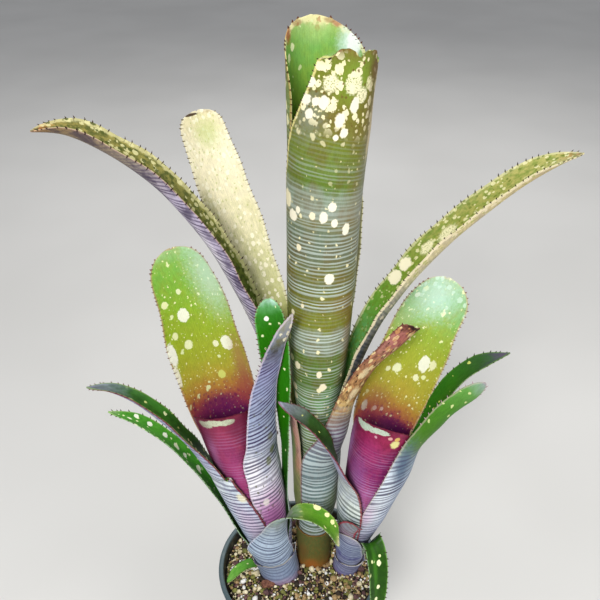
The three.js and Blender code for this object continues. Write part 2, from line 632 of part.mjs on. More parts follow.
function stemShell({ plant: stand, radius, topRadius, shoulder, top }) {
  const shell = new Shell();
  const sides = 10;
  const levels = [[SHEATH_FOOT, radius], [shoulder, radius], [top * 0.7, topRadius], [top, topRadius * 0.7]];
  const rings = levels.map(([up, size]) => {
    const ring = [];
    for (let n = 0; n < sides; n += 1) {
      ring.push(shell.point(onAxis(stand, up, size, 360 * n / sides)));
    }
    return ring;
  });
  for (let i = 0; i < rings.length - 1; i += 1) {
    for (let n = 0; n < sides; n += 1) {
      const m = (n + 1) % sides;
      shell.quad(rings[i][n], rings[i][m], rings[i + 1][m], rings[i + 1][n]);
    }
  }
  const bottom = shell.point(onAxis(stand, SHEATH_FOOT, 0, 0));
  const peak = shell.point(onAxis(stand, top, 0, 0));
  for (let n = 0; n < sides; n += 1) {
    const m = (n + 1) % sides;
    shell.triangle(bottom, rings[0][m], rings[0][n]);
    shell.triangle(peak, rings[rings.length - 1][n], rings[rings.length - 1][m]);
  }
  return shell.geometry();
}

function potRadius(z) {
  return POT_BASE_RADIUS + (POT_RIM_RADIUS - LIP_OUT - POT_BASE_RADIUS) * z / POT_HEIGHT;
}

function toManifold(wasm, geometry) {
  const mesh = new wasm.Mesh({
    numProp: 3,
    vertProperties: new Float32Array(geometry.attributes.position.array),
    triVerts: new Uint32Array(geometry.index.array),
  });
  mesh.merge();
  return new wasm.Manifold(mesh);
}

function fromManifold(solid) {
  const mesh = solid.getMesh();
  const result = new THREE.BufferGeometry();
  result.setAttribute('position', new THREE.Float32BufferAttribute(mesh.vertProperties, 3));
  result.setIndex(Array.from(mesh.triVerts));
  result.computeVertexNormals();
  return result;
}

// Spins a closed profile of [radius, z] pairs, given from the axis outwards and back.
function spin(profile, sides) {
  const shell = new Shell();
  const rings = profile.map(([radius, z]) => {
    if (radius === 0) {
      return [shell.point(new THREE.Vector3(0, 0, z))];
    }
    const ring = [];
    for (let n = 0; n < sides; n += 1) {
      const angle = rad(360 * n / sides);
      ring.push(shell.point(new THREE.Vector3(Math.cos(angle) * radius, Math.sin(angle) * radius, z)));
    }
    return ring;
  });
  for (let i = 0; i < rings.length - 1; i += 1) {
    const [low, high] = [rings[i], rings[i + 1]];
    for (let n = 0; n < sides; n += 1) {
      const m = (n + 1) % sides;
      if (low.length === 1) {
        shell.triangle(low[0], high[m], high[n]);
      } else if (high.length === 1) {
        shell.triangle(low[n], low[m], high[0]);
      } else {
        shell.quad(low[n], low[m], high[m], high[n]);
      }
    }
  }
  return shell.geometry();
}

// The pot: a tapered wall, a rolled lip and a flat floor with drain holes round the middle.
function potShell(wasm) {
  const top = POT_HEIGHT;
  const wallTop = potRadius(top);
  const profile = [
    [0, 0],
    [POT_BASE_RADIUS - 1.2, 0],
    [POT_BASE_RADIUS, 1.2],
    [potRadius(top - LIP_HEIGHT - 0.6), top - LIP_HEIGHT - 0.6],
    [POT_RIM_RADIUS, top - LIP_HEIGHT * 0.8],
    [POT_RIM_RADIUS, top - 0.8],
    [POT_RIM_RADIUS - 0.7, top],
    [wallTop - POT_WALL, top],
    [potRadius(POT_FLOOR) - POT_WALL, POT_FLOOR],
    [0, POT_FLOOR],
  ];
  let body = toManifold(wasm, spin(profile, POT_SIDES));
  const drain = spin([[0, -2], [DRAIN_RADIUS, -2], [DRAIN_RADIUS, POT_FLOOR + 2], [0, POT_FLOOR + 2]], 12);
  for (let n = 0; n < DRAIN_COUNT; n += 1) {
    const angle = rad(360 * n / DRAIN_COUNT);
    const place = [Math.cos(angle) * DRAIN_RING, Math.sin(angle) * DRAIN_RING, 0];
    body = body.subtract(toManifold(wasm, drain).translate(place));
  }
  return fromManifold(body);
}

// Height of the bare mix surface: low swells that die away at the pot wall.
function soilHeight(x, y) {
  const swell = Math.sin(x * 0.31 + 1.3) * Math.cos(y * 0.27 - 0.6) + 0.6 * Math.sin(x * 0.13 - y * 0.19);
  return SOIL_Z + SOIL_BUMP * swell * 0.6;
}

function mixBlock() {
  const shell = new Shell();
  const random = seeded(GRAIN_SEED);
  const outer = potRadius(SOIL_Z) - POT_WALL - FIT_GAP;
  const bottomZ = POT_FLOOR + FIT_GAP;
  const bottomRadius = potRadius(bottomZ) - POT_WALL - FIT_GAP;
  const middle = shell.point(new THREE.Vector3(0, 0, soilHeight(0, 0)));
  const rings = [];
  for (let r = 1; r <= SOIL_RINGS; r += 1) {
    const ring = [];
    for (let n = 0; n < SOIL_SIDES; n += 1) {
      const radius = outer * r / SOIL_RINGS;
      const angle = rad(360 * (n + 0.5 * (r % 2)) / SOIL_SIDES);
      const [x, y] = [Math.cos(angle) * radius, Math.sin(angle) * radius];
      const rough = r < SOIL_RINGS ? (random() - 0.5) * SOIL_BUMP : -0.4;
      ring.push(shell.point(new THREE.Vector3(x, y, soilHeight(x, y) + rough)));
    }
    rings.push(ring);
  }
  const base = [];
  for (let n = 0; n < SOIL_SIDES; n += 1) {
    const angle = rad(360 * (n + 0.5 * (SOIL_RINGS % 2)) / SOIL_SIDES);
    base.push(shell.point(new THREE.Vector3(Math.cos(angle), Math.sin(angle), 0)
      .multiplyScalar(bottomRadius).setZ(bottomZ)));
  }
  rings.push(base);
  for (let n = 0; n < SOIL_SIDES; n += 1) {
    shell.triangle(middle, rings[0][n], rings[0][(n + 1) % SOIL_SIDES]);
  }
  for (let i = 0; i < rings.length - 1; i += 1) {
    for (let n = 0; n < SOIL_SIDES; n += 1) {
      const m = (n + 1) % SOIL_SIDES;
      shell.quad(rings[i][n], rings[i + 1][n], rings[i + 1][m], rings[i][m]);
    }
  }
  const foot = shell.point(new THREE.Vector3(0, 0, bottomZ));
  for (let n = 0; n < SOIL_SIDES; n += 1) {
    shell.triangle(foot, base[(n + 1) % SOIL_SIDES], base[n]);
  }
  return shell.geometry();
}

// One stone of the mix: an uneven many-faced lump.
function grain(random, size) {
  const source = new THREE.IcosahedronGeometry(1, 0);
  const position = source.attributes.position;
  const seen = new Map();
  const shell = new Shell();
  const stretch = [0.75 + random() * 0.5, 0.75 + random() * 0.5, 0.6 + random() * 0.4];
  const spin = new THREE.Quaternion().setFromEuler(new THREE.Euler(random() * 6, random() * 6, random() * 6));
  const indexOf = (n) => {
    const spot = new THREE.Vector3().fromBufferAttribute(position, n);
    const key = spot.toArray().map((value) => value.toFixed(3)).join();
    if (!seen.has(key)) {
      const lump = spot.multiplyScalar(size * (0.85 + random() * 0.3)).applyQuaternion(spin);
      lump.set(lump.x * stretch[0], lump.y * stretch[1], lump.z * stretch[2]);
      seen.set(key, shell.point(lump));
    }
    return seen.get(key);
  };
  for (let n = 0; n < position.count; n += 3) {
    shell.triangle(indexOf(n), indexOf(n + 1), indexOf(n + 2));
  }
  return shell.geometry();
}

// The mix fills the pot; grains are sunk into its top and each plant has a plain hole.
function mixShell(wasm) {
  const random = seeded(GRAIN_SEED + 7);
  let body = toManifold(wasm, mixBlock());
  const reach = potRadius(SOIL_Z) - POT_WALL - FIT_GAP - 4.2;
  const placed = [];
  let tries = 0;
  while (placed.length < GRAIN_COUNT && tries < 4000) {
    tries += 1;
    const radius = reach * Math.sqrt(random());
    const angle = random() * 2 * Math.PI;
    const size = 1.7 + random() * 1.5;
    const [x, y] = [Math.cos(angle) * radius, Math.sin(angle) * radius];
    const inHole = HOLES.some(({ plant: stand, radius: hole }) => {
      return Math.hypot(x - stand.base.x, y - stand.base.y) < hole + size + 2.2;
    });
    const onLeaf = x < -24 && y > -20 && y < 12;
    const tooNear = placed.some((other) => Math.hypot(x - other.x, y - other.y) < (size + other.size) * 0.8);
    if (inHole || onLeaf || tooNear) {
      continue;
    }
    placed.push({ x, y, size });
    const lump = toManifold(wasm, grain(random, size));
    body = body.add(lump.translate([x, y, soilHeight(x, y) + size * 0.15]));
  }
  for (const { plant: stand, radius } of HOLES) {
    const shell = new Shell();
    const sides = 24;
    const levels = [SHEATH_FOOT - FIT_GAP, 14];
    const rings = levels.map((up) => {
      const ring = [];
      for (let n = 0; n < sides; n += 1) {
        ring.push(shell.point(onAxis(stand, up, radius + 0.06 * (up - levels[0]), 360 * n / sides)));
      }
      return ring;
    });
    const low = shell.point(onAxis(stand, levels[0], 0, 0));
    const high = shell.point(onAxis(stand, levels[1], 0, 0));
    for (let n = 0; n < sides; n += 1) {
      const m = (n + 1) % sides;
      shell.quad(rings[0][n], rings[0][m], rings[1][m], rings[1][n]);
      shell.triangle(low, rings[0][m], rings[0][n]);
      shell.triangle(high, rings[1][n], rings[1][m]);
    }
    body = body.subtract(toManifold(wasm, shell.geometry()));
  }
  const pieces = body.decompose();
  pieces.sort((a, b) => b.volume() - a.volume());
  return fromManifold(pieces[0]);
}

function addNode(group, name, geometry, slot) {
  const [color, roughness, metalness] = FINISHES[slot];
  const material = new THREE.MeshStandardMaterial({ color, roughness, metalness });
  const mesh = new THREE.Mesh(geometry, material);
  mesh.name = name;
  group.add(mesh);
}

const wasm = await Module();
wasm.setup();

const group = new THREE.Group();
group.name = 'potted_billbergia';
addNode(group, 'pot', potShell(wasm), 'pot_plastic');
addNode(group, 'potting_mix', mixShell(wasm), 'potting_mix');
for (const stem of STEMS) {
  addNode(group, stem.name, stemShell(stem), 'stem_tissue');
}
for (const leaf of LEAVES) {
  addNode(group, leaf.name, leafShell(leaf), leaf.slot);
}

export default group;
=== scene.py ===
"""Dresses the potted billbergia: its leaves, pot and mix, with floor, light and camera."""

import logging
import math
from dataclasses import dataclass
from enum import Enum
from typing import Any, Iterable

import bpy
import numpy as np
from mathutils import Matrix, Vector

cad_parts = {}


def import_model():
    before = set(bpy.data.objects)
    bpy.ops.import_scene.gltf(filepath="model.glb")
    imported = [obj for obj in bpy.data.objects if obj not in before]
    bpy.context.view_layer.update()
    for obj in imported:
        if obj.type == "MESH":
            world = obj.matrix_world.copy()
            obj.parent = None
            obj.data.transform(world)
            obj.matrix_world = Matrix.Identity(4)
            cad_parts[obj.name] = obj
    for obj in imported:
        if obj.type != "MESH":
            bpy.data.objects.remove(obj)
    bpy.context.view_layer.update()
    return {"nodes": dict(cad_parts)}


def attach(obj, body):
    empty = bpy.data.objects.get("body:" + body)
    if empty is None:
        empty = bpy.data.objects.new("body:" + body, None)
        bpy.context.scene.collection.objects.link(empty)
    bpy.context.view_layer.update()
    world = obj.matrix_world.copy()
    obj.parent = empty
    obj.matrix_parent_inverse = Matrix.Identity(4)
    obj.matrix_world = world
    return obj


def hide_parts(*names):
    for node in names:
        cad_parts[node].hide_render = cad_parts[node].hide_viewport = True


LOG = logging.getLogger("potted_billbergia")
MM = 0.001

# The same named values as the part's source, in millimetres.
POT_HEIGHT = 96
POT_RIM_RADIUS = 57
POT_BASE_RADIUS = 42
POT_WALL = 1.6
POT_FLOOR = 3
LIP_HEIGHT = 3.2
LIP_OUT = 1.7
DRAIN_RADIUS = 4
DRAIN_RING = 28
DRAIN_COUNT = 6
SOIL_Z = 88
SOIL_BUMP = 0.8
FIT_GAP = 0.4
SHEATH_FOOT = -9
LEAF_THICKNESS = 0.8


@dataclass(frozen=True)
class Plant:
    """One rosette's own axis, which may lean and bend; millimetres."""

    x: float
    y: float
    lean_x: float
    lean_y: float
    bend: float = 0.0

    def tilt(self) -> np.ndarray:
        """Returns the 3x3 turn that takes +Z to the plant's axis."""
        along = np.array([self.lean_x, self.lean_y, 1.0])
        along /= np.linalg.norm(along)
        turn = np.cross([0.0, 0.0, 1.0], along)
        skew = np.array([[0, -turn[2], turn[1]], [turn[2], 0, -turn[0]], [-turn[1], turn[0], 0]])
        return np.eye(3) + skew + skew @ skew / (1 + along[2])

    def on_axis(self, up: float, radius: float, face: float) -> np.ndarray:
        """Returns a point at a height on the axis, out from it at a facing angle.

        Args:
            up: Height along the axis.
            radius: Distance from the axis.
            face: Facing angle in degrees.

        Returns:
            The point in the part's frame, in millimetres.
        """
        angle = math.radians(face)
        spot = self.tilt() @ np.array([math.cos(angle) * radius, math.sin(angle) * radius, up])
        spot[0] += self.bend * up * up
        return spot + np.array([self.x, self.y, SOIL_Z])


MOTHER = Plant(10.8, 13, 0, 0.087, 4e-5)
LEFT_PUP = Plant(-14, 2, -0.225, 0.165)
RIGHT_PUP = Plant(34, 5, 0.15, 0.02)


@dataclass(frozen=True)
class LeafShape:
    """A leaf as stations from foot to tip, in millimetres and degrees.

    Sheath rows hold height on the axis, radius, wrap to the left, wrap to the right and a turn.
    Blade rows hold x, y, z, width to the left, width to the right, roll radius and facing angle.
    """

    plant: Plant
    face: float
    tip: float
    blunt: float
    end: float
    sheath: tuple[tuple[float, ...], ...] = ()
    blade: tuple[tuple[float, ...], ...] = ()

    def stations(self) -> np.ndarray:
        """Returns place, widths, curvature and facing angle of every row."""
        rows = []
        for up, radius, left, right, turn in self.sheath:
            spot = self.plant.on_axis(up, radius, self.face + turn)
            wraps = radius * math.radians(left), radius * math.radians(right)
            rows.append([*spot, *wraps, 1 / radius, self.face + turn])
        for x, y, z, left, right, roll, face in self.blade:
            rows.append([x, y, z, left, right, 1 / roll, face])
        return np.array(rows, float)


SHAPES: dict[str, LeafShape] = {
    "mother_front_leaf": LeafShape(
        MOTHER, -80, 8, 3.2, 0.78,
        sheath=(
            (6, 4.3, 100, 100, 0), (34, 5.4, 100, 100, 0), (48, 7.6, 100, 100, 0), (62, 9.4, 100, 100, 0),
            (82, 10.0, 100, 100, 0), (122, 12.0, 100, 100, 0), (142, 14.4, 100, 100, 0),
            (160, 16.7, 102, 100, 0), (180, 18.2, 104, 100, 0), (216, 19.6, 105, 102, 0),
            (250, 20.2, 110, 102, 2), (280, 20.9, 104, 100, 6), (303, 22.2, 90, 76, 14),
            (320, 23.0, 78, 55, 22), (338, 23.6, 66, 45, 29), (356, 24.2, 54, 40, 34),
        ),
    ),
    "mother_back_leaf": LeafShape(
        MOTHER, 110, 38, 1.8, 0.2,
        sheath=(
            (9, 3.1, 95, 95, 0), (34, 4.1, 95, 95, 0), (48, 6.2, 95, 95, 0), (62, 8.0, 95, 95, 0),
            (82, 8.6, 95, 95, 0), (122, 10.6, 95, 95, 0), (142, 13.0, 95, 95, 0), (160, 15.3, 95, 95, 0),
            (180, 16.8, 95, 95, 0), (216, 18.1, 96, 95, 0), (250, 18.7, 98, 95, 0), (280, 19.4, 98, 95, 0),
            (303, 20.6, 104, 96, 0), (338, 22.0, 100, 98, 0), (367, 23.4, 84, 98, 0),
        ),
    ),
    "mother_rear_leaf": LeafShape(
        MOTHER, 62, 22, 2, 0.15,
        sheath=(
            (SHEATH_FOOT, 5.5, 80, 80, 0), (34, 6.6, 75, 75, 0), (48, 8.8, 70, 70, 0), (62, 10.6, 65, 65, 0),
            (82, 11.2, 62, 62, 0), (122, 13.3, 55, 55, 0), (142, 15.8, 50, 50, 0), (160, 18.2, 45, 45, 0),
        ),
        blade=(
            (22.5, 51, 273, 13.5, 14, 21, 62), (26, 56, 310, 13.5, 14, 23, 62),
            (28, 60.5, 345, 12.5, 13, 24, 62), (28.5, 63, 370, 10, 10, 24, 62),
        ),
    ),
    "mother_cream_leaf": LeafShape(
        MOTHER, 140, 15, 2.8, 0.4,
        sheath=(
            (SHEATH_FOOT, 6.7, 80, 80, 0), (34, 7.8, 78, 78, 0), (48, 10.0, 75, 75, 0), (62, 11.9, 72, 70, 0),
            (82, 12.5, 70, 66, 0), (122, 15.0, 60, 46, 0), (142, 19.2, 52, 32, 0),
        ),
        blade=(
            (-9, 47.5, 245, 16, 11, 20, 134), (-21, 57, 272, 17, 15.5, 22, 124),
            (-31, 68, 301, 17, 17, 24, 114), (-39, 78, 325, 17, 17, 26, 110),
            (-49, 88, 351, 16.5, 16.5, 26, 108), (-57, 98, 373, 15, 15, 26, 108),
            (-62, 104, 389, 13.5, 13.5, 26, 108),
        ),
    ),
    "mother_left_arching_leaf": LeafShape(
        MOTHER, 184, 24, 2.1, 0.12,
        sheath=(
            (SHEATH_FOOT, 9.1, 80, 88, 0), (34, 10.3, 80, 82, 0), (48, 12.6, 78, 70, 0),
            (62, 14.5, 70, 55, 0), (82, 15.1, 62, 50, 0), (122, 17.4, 34, 44, 0),
        ),
        blade=(
            (-14, 23.5, 247, 5.5, 14, 16, 184), (-25, 28, 276, 13, 15, 14.5, 184),
            (-35, 31, 301, 17, 16.5, 14, 184), (-50, 32, 334, 17, 17, 13.5, 184),
            (-65, 33, 357, 16.5, 16.5, 13, 184), (-79, 33, 374, 16, 16, 12.5, 184),
            (-98, 32, 390, 14.5, 14.5, 12, 184), (-118, 31, 401, 12.5, 12.5, 11, 184),
            (-136, 30, 403, 10, 10, 10, 184),
        ),
    ),
    "mother_right_arching_leaf": LeafShape(
        MOTHER, 2, 26, 1.6, 0.12,
        sheath=(
            (SHEATH_FOOT, 7.9, 130, 80, 0), (34, 9.05, 125, 80, 0), (48, 11.3, 122, 75, 0),
            (62, 13.2, 118, 70, 0), (82, 13.8, 110, 68, 0), (122, 16.0, 76, 64, 0),
        ),
        blade=(
            (30, 26, 229, 18, 18, 18, 2), (39, 29, 258, 17.5, 17, 15, 2), (49, 31, 284, 17, 17, 14, 2),
            (60, 32, 304, 16.5, 16.5, 13.5, 2), (70, 33, 319, 16.5, 16.5, 13, 2),
            (86, 35, 338, 16, 16, 12.5, 2), (101, 36, 353, 15, 15, 12.5, 2),
            (120, 37, 370, 13.5, 13.5, 12, 2),
            (138, 38, 382, 11.5, 11.5, 11, 2), (151, 38, 388, 8.5, 8.5, 10, 2),
        ),
    ),
    "mother_cut_leaf": LeafShape(
        MOTHER, -75, 3, 4, 0.7,
        sheath=(
            (SHEATH_FOOT, 10.3, 100, 100, 0), (34, 11.5, 88, 95, 0), (48, 13.9, 58, 85, 0),
            (62, 15.9, 52, 84, 0), (82, 16.5, 52, 78, 0), (102, 17.2, 50, 62, 4),
        ),
        blade=(
            (24, 8, 209, 12, 12, 16, -60), (30.5, 11, 235, 9.5, 9.5, 14, -54),
            (42, 14, 259, 9.4, 9.4, 14, -56),
            (55, 15, 275, 9.6, 9.6, 14, -62), (68, 15.5, 291, 9.4, 9.4, 14, -66),
        ),
    ),
    "mother_base_sheath": LeafShape(
        MOTHER, -90, 6, 4, 0.7,
        sheath=(
            (SHEATH_FOOT, 11.6, 140, 140, 0), (33, 13.0, 130, 130, 0),
        ),
    ),
    "left_back_leaf": LeafShape(
        LEFT_PUP, 112, 17, 2.5, 0.3,
        sheath=(
            (SHEATH_FOOT, 5.9, 80, 80, 0), (8, 6.7, 80, 80, 0), (33, 10.9, 80, 80, 0), (62, 15.8, 80, 80, 0),
            (76, 17.6, 80, 78, 0), (105, 20.2, 75, 70, 0),
        ),
        blade=(
            (-51, 43, 208, 27, 27, 24, 106), (-55.5, 49, 228, 28.5, 27, 29, 100),
            (-61, 54, 253, 27, 27, 31, 96), (-67, 58, 282, 24, 24, 31, 95),
            (-73, 60, 303, 20.5, 20.5, 30, 95), (-78, 61, 318, 17.5, 17.5, 29, 95),
        ),
    ),
    "left_cup_leaf": LeafShape(
        LEFT_PUP, -100, 26, 2, 0.25,
        sheath=(
            (SHEATH_FOOT, 7.2, 85, 85, 0), (8, 8.0, 85, 85, 0), (33, 12.2, 85, 85, 0), (62, 17.1, 84, 85, 0),
            (76, 18.9, 82, 86, 0), (105, 21.5, 80, 86, 0), (120, 22.6, 78, 84, 0), (136, 23.4, 78, 84, 0),
            (143, 24.2, 78, 84, 0), (148, 25.8, 78, 84, 0),
        ),
    ),
    "left_silver_leaf": LeafShape(
        LEFT_PUP, -45, 15, 1.4, 0.15,
        sheath=(
            (SHEATH_FOOT, 8.5, 90, 80, 0), (8, 9.3, 80, 80, 0), (33, 13.5, 46, 78, 0), (62, 18.4, 35, 72, 0),
            (76, 20.3, 42, 66, 0), (105, 23.4, 38, 52, 0),
        ),
        blade=(
            (-21.5, 1, 212, 12, 13, 20, -56), (-21.5, 3, 234, 9.8, 10.5, 17, -64),
            (-19.5, 3.5, 254, 8.2, 8.6, 13, -70), (-15.5, 3.5, 272, 6.6, 6.6, 11, -72),
            (-10.6, 3, 289.8, 5, 5, 9, -72), (-3.5, 4, 308.6, 3.6, 3.6, 8, -70),
        ),
    ),
    "left_arching_leaf": LeafShape(
        LEFT_PUP, 212, 18, 1.5, 0.15,
        sheath=(
            (SHEATH_FOOT, 9.8, 80, 100, 0), (8, 10.6, 80, 100, 0), (33, 15.2, 72, 86, -2),
            (62, 20.3, 56, 75, -8), (76, 22.6, 44, 71, -12), (90, 24.8, 34, 66, -17),
            (100, 26.4, 26, 58, -21),
        ),
        blade=(
            (-73, 11.5, 205, 9.5, 14, 15, 188), (-87.6, 11, 225, 10, 11, 11, 187),
            (-101.2, 10.5, 239.8, 8.5, 9, 9, 187), (-114.9, 10, 248.6, 6.5, 6.5, 8, 187),
            (-127.6, 9, 251.5, 4.5, 4.5, 7, 187),
        ),
    ),
    "left_spotted_leaf": LeafShape(
        LEFT_PUP, 178, 20, 1.5, 0.15,
        sheath=(
            (SHEATH_FOOT, 11.1, 62, 50, 0), (8, 11.9, 60, 50, 0), (33, 16.8, 46, 42, 0),
            (45, 20.2, 38, 36, 0),
        ),
        blade=(
            (-51, 11, 144, 9.5, 9.5, 15, 178), (-58, 12, 158, 8.8, 8.8, 12, 178),
            (-69, 13, 178, 8.4, 8.4, 11, 178), (-83, 13, 200, 8, 8, 10, 178),
            (-100, 12, 219, 6.8, 6.8, 9, 178), (-118, 10, 231, 4.4, 4.4, 8, 178),
        ),
    ),
    "left_side_leaf": LeafShape(
        LEFT_PUP, 14, 16, 2.1, 0.15,
        sheath=(
            (SHEATH_FOOT, 11.1, 66, 66, 0), (8, 11.9, 62, 64, 0), (33, 16.6, 42, 45, 0),
            (45, 19.4, 32, 32, 0),
        ),
        blade=(
            (-8.3, 16, 154, 7, 7, 20, 18), (-8.3, 15.5, 194, 5.5, 5.5, 20, 26),
            (-9.6, 13.5, 237.5, 6.5, 6.5, 21, 50), (-13, 12, 271.5, 9.3, 9.3, 20, 74),
            (-15.5, 12.6, 294.3, 9.6, 9.6, 18, 80), (-16.7, 12.6, 313.2, 8.4, 8.4, 16, 82),
        ),
    ),
    "left_scale_leaf": LeafShape(
        LEFT_PUP, -86, 15, 1.5, 0.15,
        sheath=(
            (SHEATH_FOOT, 12.4, 88, 86, 0), (8, 13.3, 82, 80, 0), (20, 15.9, 70, 66, 0),
            (33, 19.6, 50, 46, 4),
        ),
        blade=(
            (-15.5, -13, 142, 11, 11, 15, -70), (-11, -14.5, 157, 9, 9, 13, -56),
            (-2, -15.5, 166, 8, 8, 11, -42), (10, -16.5, 166, 7.5, 7.5, 10, -30),
            (20, -17.5, 156, 6.2, 6.2, 9, -26), (26, -18, 139, 4.4, 4.4, 8, -25),
        ),
    ),
    "left_base_ring": LeafShape(
        LEFT_PUP, -80, 6, 3, 0.6,
        sheath=(
            (SHEATH_FOOT, 13.6, 112, 112, 0), (8, 14.6, 104, 104, 0), (17, 16.6, 88, 88, 0),
        ),
    ),
    "left_soil_leaf": LeafShape(
        LEFT_PUP, 200, 10, 1.8, 0.2,
        blade=(
            (-32.6, 3.0, 91.4, 4.6, 4.6, 14, 190), (-37.5, 0, 93.2, 4.8, 4.8, 14, 200),
            (-43.5, -5, 93.6, 4.6, 4.6, 13, 212), (-50, -13, 92.2, 3.6, 3.6, 12, 225),
        ),
    ),
    "right_back_leaf": LeafShape(
        RIGHT_PUP, 62, 17, 2.5, 0.25,
        sheath=(
            (15, 3.2, 80, 80, 0), (20, 4.2, 80, 80, 0), (33, 6.9, 80, 80, 0), (62, 12.9, 80, 80, 0),
            (76, 14.7, 78, 80, 0), (105, 17.3, 70, 73, 0),
        ),
        blade=(
            (58, 30, 205, 22, 25, 22, 70), (61, 34, 221, 23, 26, 26, 76), (68, 39, 243, 24, 25, 28, 80),
            (76, 43, 270, 23, 23, 29, 84), (85, 47, 290, 20, 20, 29, 85), (89.5, 48, 305, 16, 16, 28, 85),
        ),
    ),
    "right_cup_leaf": LeafShape(
        RIGHT_PUP, -105, 26, 2, 0.25,
        sheath=(
            (12, 3.9, 85, 85, 0), (20, 5.45, 85, 85, 0), (33, 8.15, 85, 85, 0), (62, 14.15, 85, 85, 0),
            (76, 15.95, 86, 82, 0), (105, 18.5, 86, 72, 0), (120, 19.5, 84, 68, 0), (136, 20.2, 82, 66, 0),
            (143, 20.9, 82, 66, 0), (151, 22.6, 82, 66, 0),
        ),
    ),
    "right_spotted_leaf": LeafShape(
        RIGHT_PUP, 14, 20, 1.5, 0.15,
        sheath=(
            (9, 4.55, 75, 75, 0), (20, 6.7, 72, 72, 0), (33, 9.4, 70, 70, 0), (62, 15.4, 58, 60, 0),
            (76, 17.2, 48, 52, 0), (105, 20.6, 30, 36, 0),
        ),
        blade=(
            (79.5, 14, 213, 7, 7, 18, 12), (86, 15.5, 230, 8.5, 8.5, 14, 8), (94, 15, 246, 9.5, 9, 11, 6),
            (103, 14, 260, 8.4, 8.4, 10, 5), (113, 13, 269, 6.6, 6.6, 9, 5), (124, 12, 275, 4.4, 4.4, 8, 5),
        ),
    ),
    "right_silver_leaf": LeafShape(
        RIGHT_PUP, -25, 14, 1.8, 0.25,
        sheath=(
            (SHEATH_FOOT, 4.0, 92, 70, 0), (4, 4.8, 92, 70, 0), (20, 7.95, 88, 68, 0), (33, 10.65, 84, 66, 0),
            (62, 16.7, 75, 56, 0), (76, 18.7, 71, 44, -4), (105, 23.0, 52, 28, -12),
        ),
        blade=(
            (71, -7.2, 211.5, 14.5, 8, 20, -44), (77.5, -9, 228.7, 11.8, 8.5, 16, -56),
            (86, -7, 242, 9.6, 9, 13, -68), (97, -6, 255, 8.4, 8.4, 12, -78),
            (107, -5, 267, 6.4, 6.4, 11, -80),
        ),
    ),
    "right_crossing_leaf": LeafShape(
        RIGHT_PUP, -155, 18, 1.5, 0.15,
        sheath=(
            (SHEATH_FOOT, 5.2, 80, 75, 0), (4, 6.0, 76, 75, 0), (20, 9.2, 64, 72, 0), (33, 11.9, 50, 66, 0),
            (62, 18.0, 38, 57, 0), (76, 19.9, 34, 50, 0), (90, 21.8, 28, 40, -2),
        ),
        blade=(
            (23, -7, 200, 9.5, 10, 14, -166), (16.5, -8.5, 219, 9.2, 9.2, 12, -178),
            (8, -7.5, 233, 8.6, 8.6, 11, -186), (-1, -6.5, 243, 7.2, 7.2, 10, -192),
            (-12, -6, 253, 4.6, 4.6, 9, -196),
        ),
    ),
    "right_drooping_leaf": LeafShape(
        RIGHT_PUP, -52, 16, 1.6, 0.2,
        sheath=(
            (SHEATH_FOOT, 6.4, 30, 58, 0), (4, 7.2, 28, 54, 0), (20, 10.45, 24, 46, 0), (33, 13.6, 22, 38, 0),
            (40, 15.8, 22, 32, 0),
        ),
        blade=(
            (48.4, -12.2, 133, 6.8, 8.4, 13, -56), (49.5, -16, 131.5, 8, 8.6, 12, -60),
            (51, -21.5, 123, 8.2, 8.4, 12, -62), (52, -26.5, 109, 7.6, 7.6, 12, -62),
            (52, -30.5, 96, 6.2, 6.2, 11, -62), (50.5, -33, 84, 4.4, 4.4, 10, -62),
        ),
    ),
    "right_small_leaf": LeafShape(
        RIGHT_PUP, -140, 9, 1.6, 0.2,
        sheath=(
            (SHEATH_FOOT, 6.4, 40, 34, 0), (4, 7.2, 38, 32, 0), (20, 10.45, 34, 30, 0), (33, 13.2, 30, 30, 3),
            (44, 16.0, 26, 28, 8),
        ),
        blade=(
            (31.5, -11.5, 146, 6.5, 6.5, 12, -122), (35.5, -14.5, 152, 5.6, 5.6, 10, -108),
            (41, -16.5, 153, 4.2, 4.2, 8, -92),
        ),
    ),
    "right_scale_leaf": LeafShape(
        RIGHT_PUP, -113, 17, 2, 0.25,
        sheath=(
            (SHEATH_FOOT, 7.55, 85, 85, 0), (4, 8.4, 80, 80, 0), (20, 11.7, 62, 60, 0), (33, 14.9, 48, 38, 0),
            (50, 19.4, 38, 28, 0),
        ),
    ),
    "right_base_ring": LeafShape(
        RIGHT_PUP, -80, 6, 3, 0.6,
        sheath=(
            (SHEATH_FOOT, 8.85, 112, 112, 0), (4, 9.8, 104, 104, 0), (13, 12.0, 86, 86, 0),
        ),
    ),
}


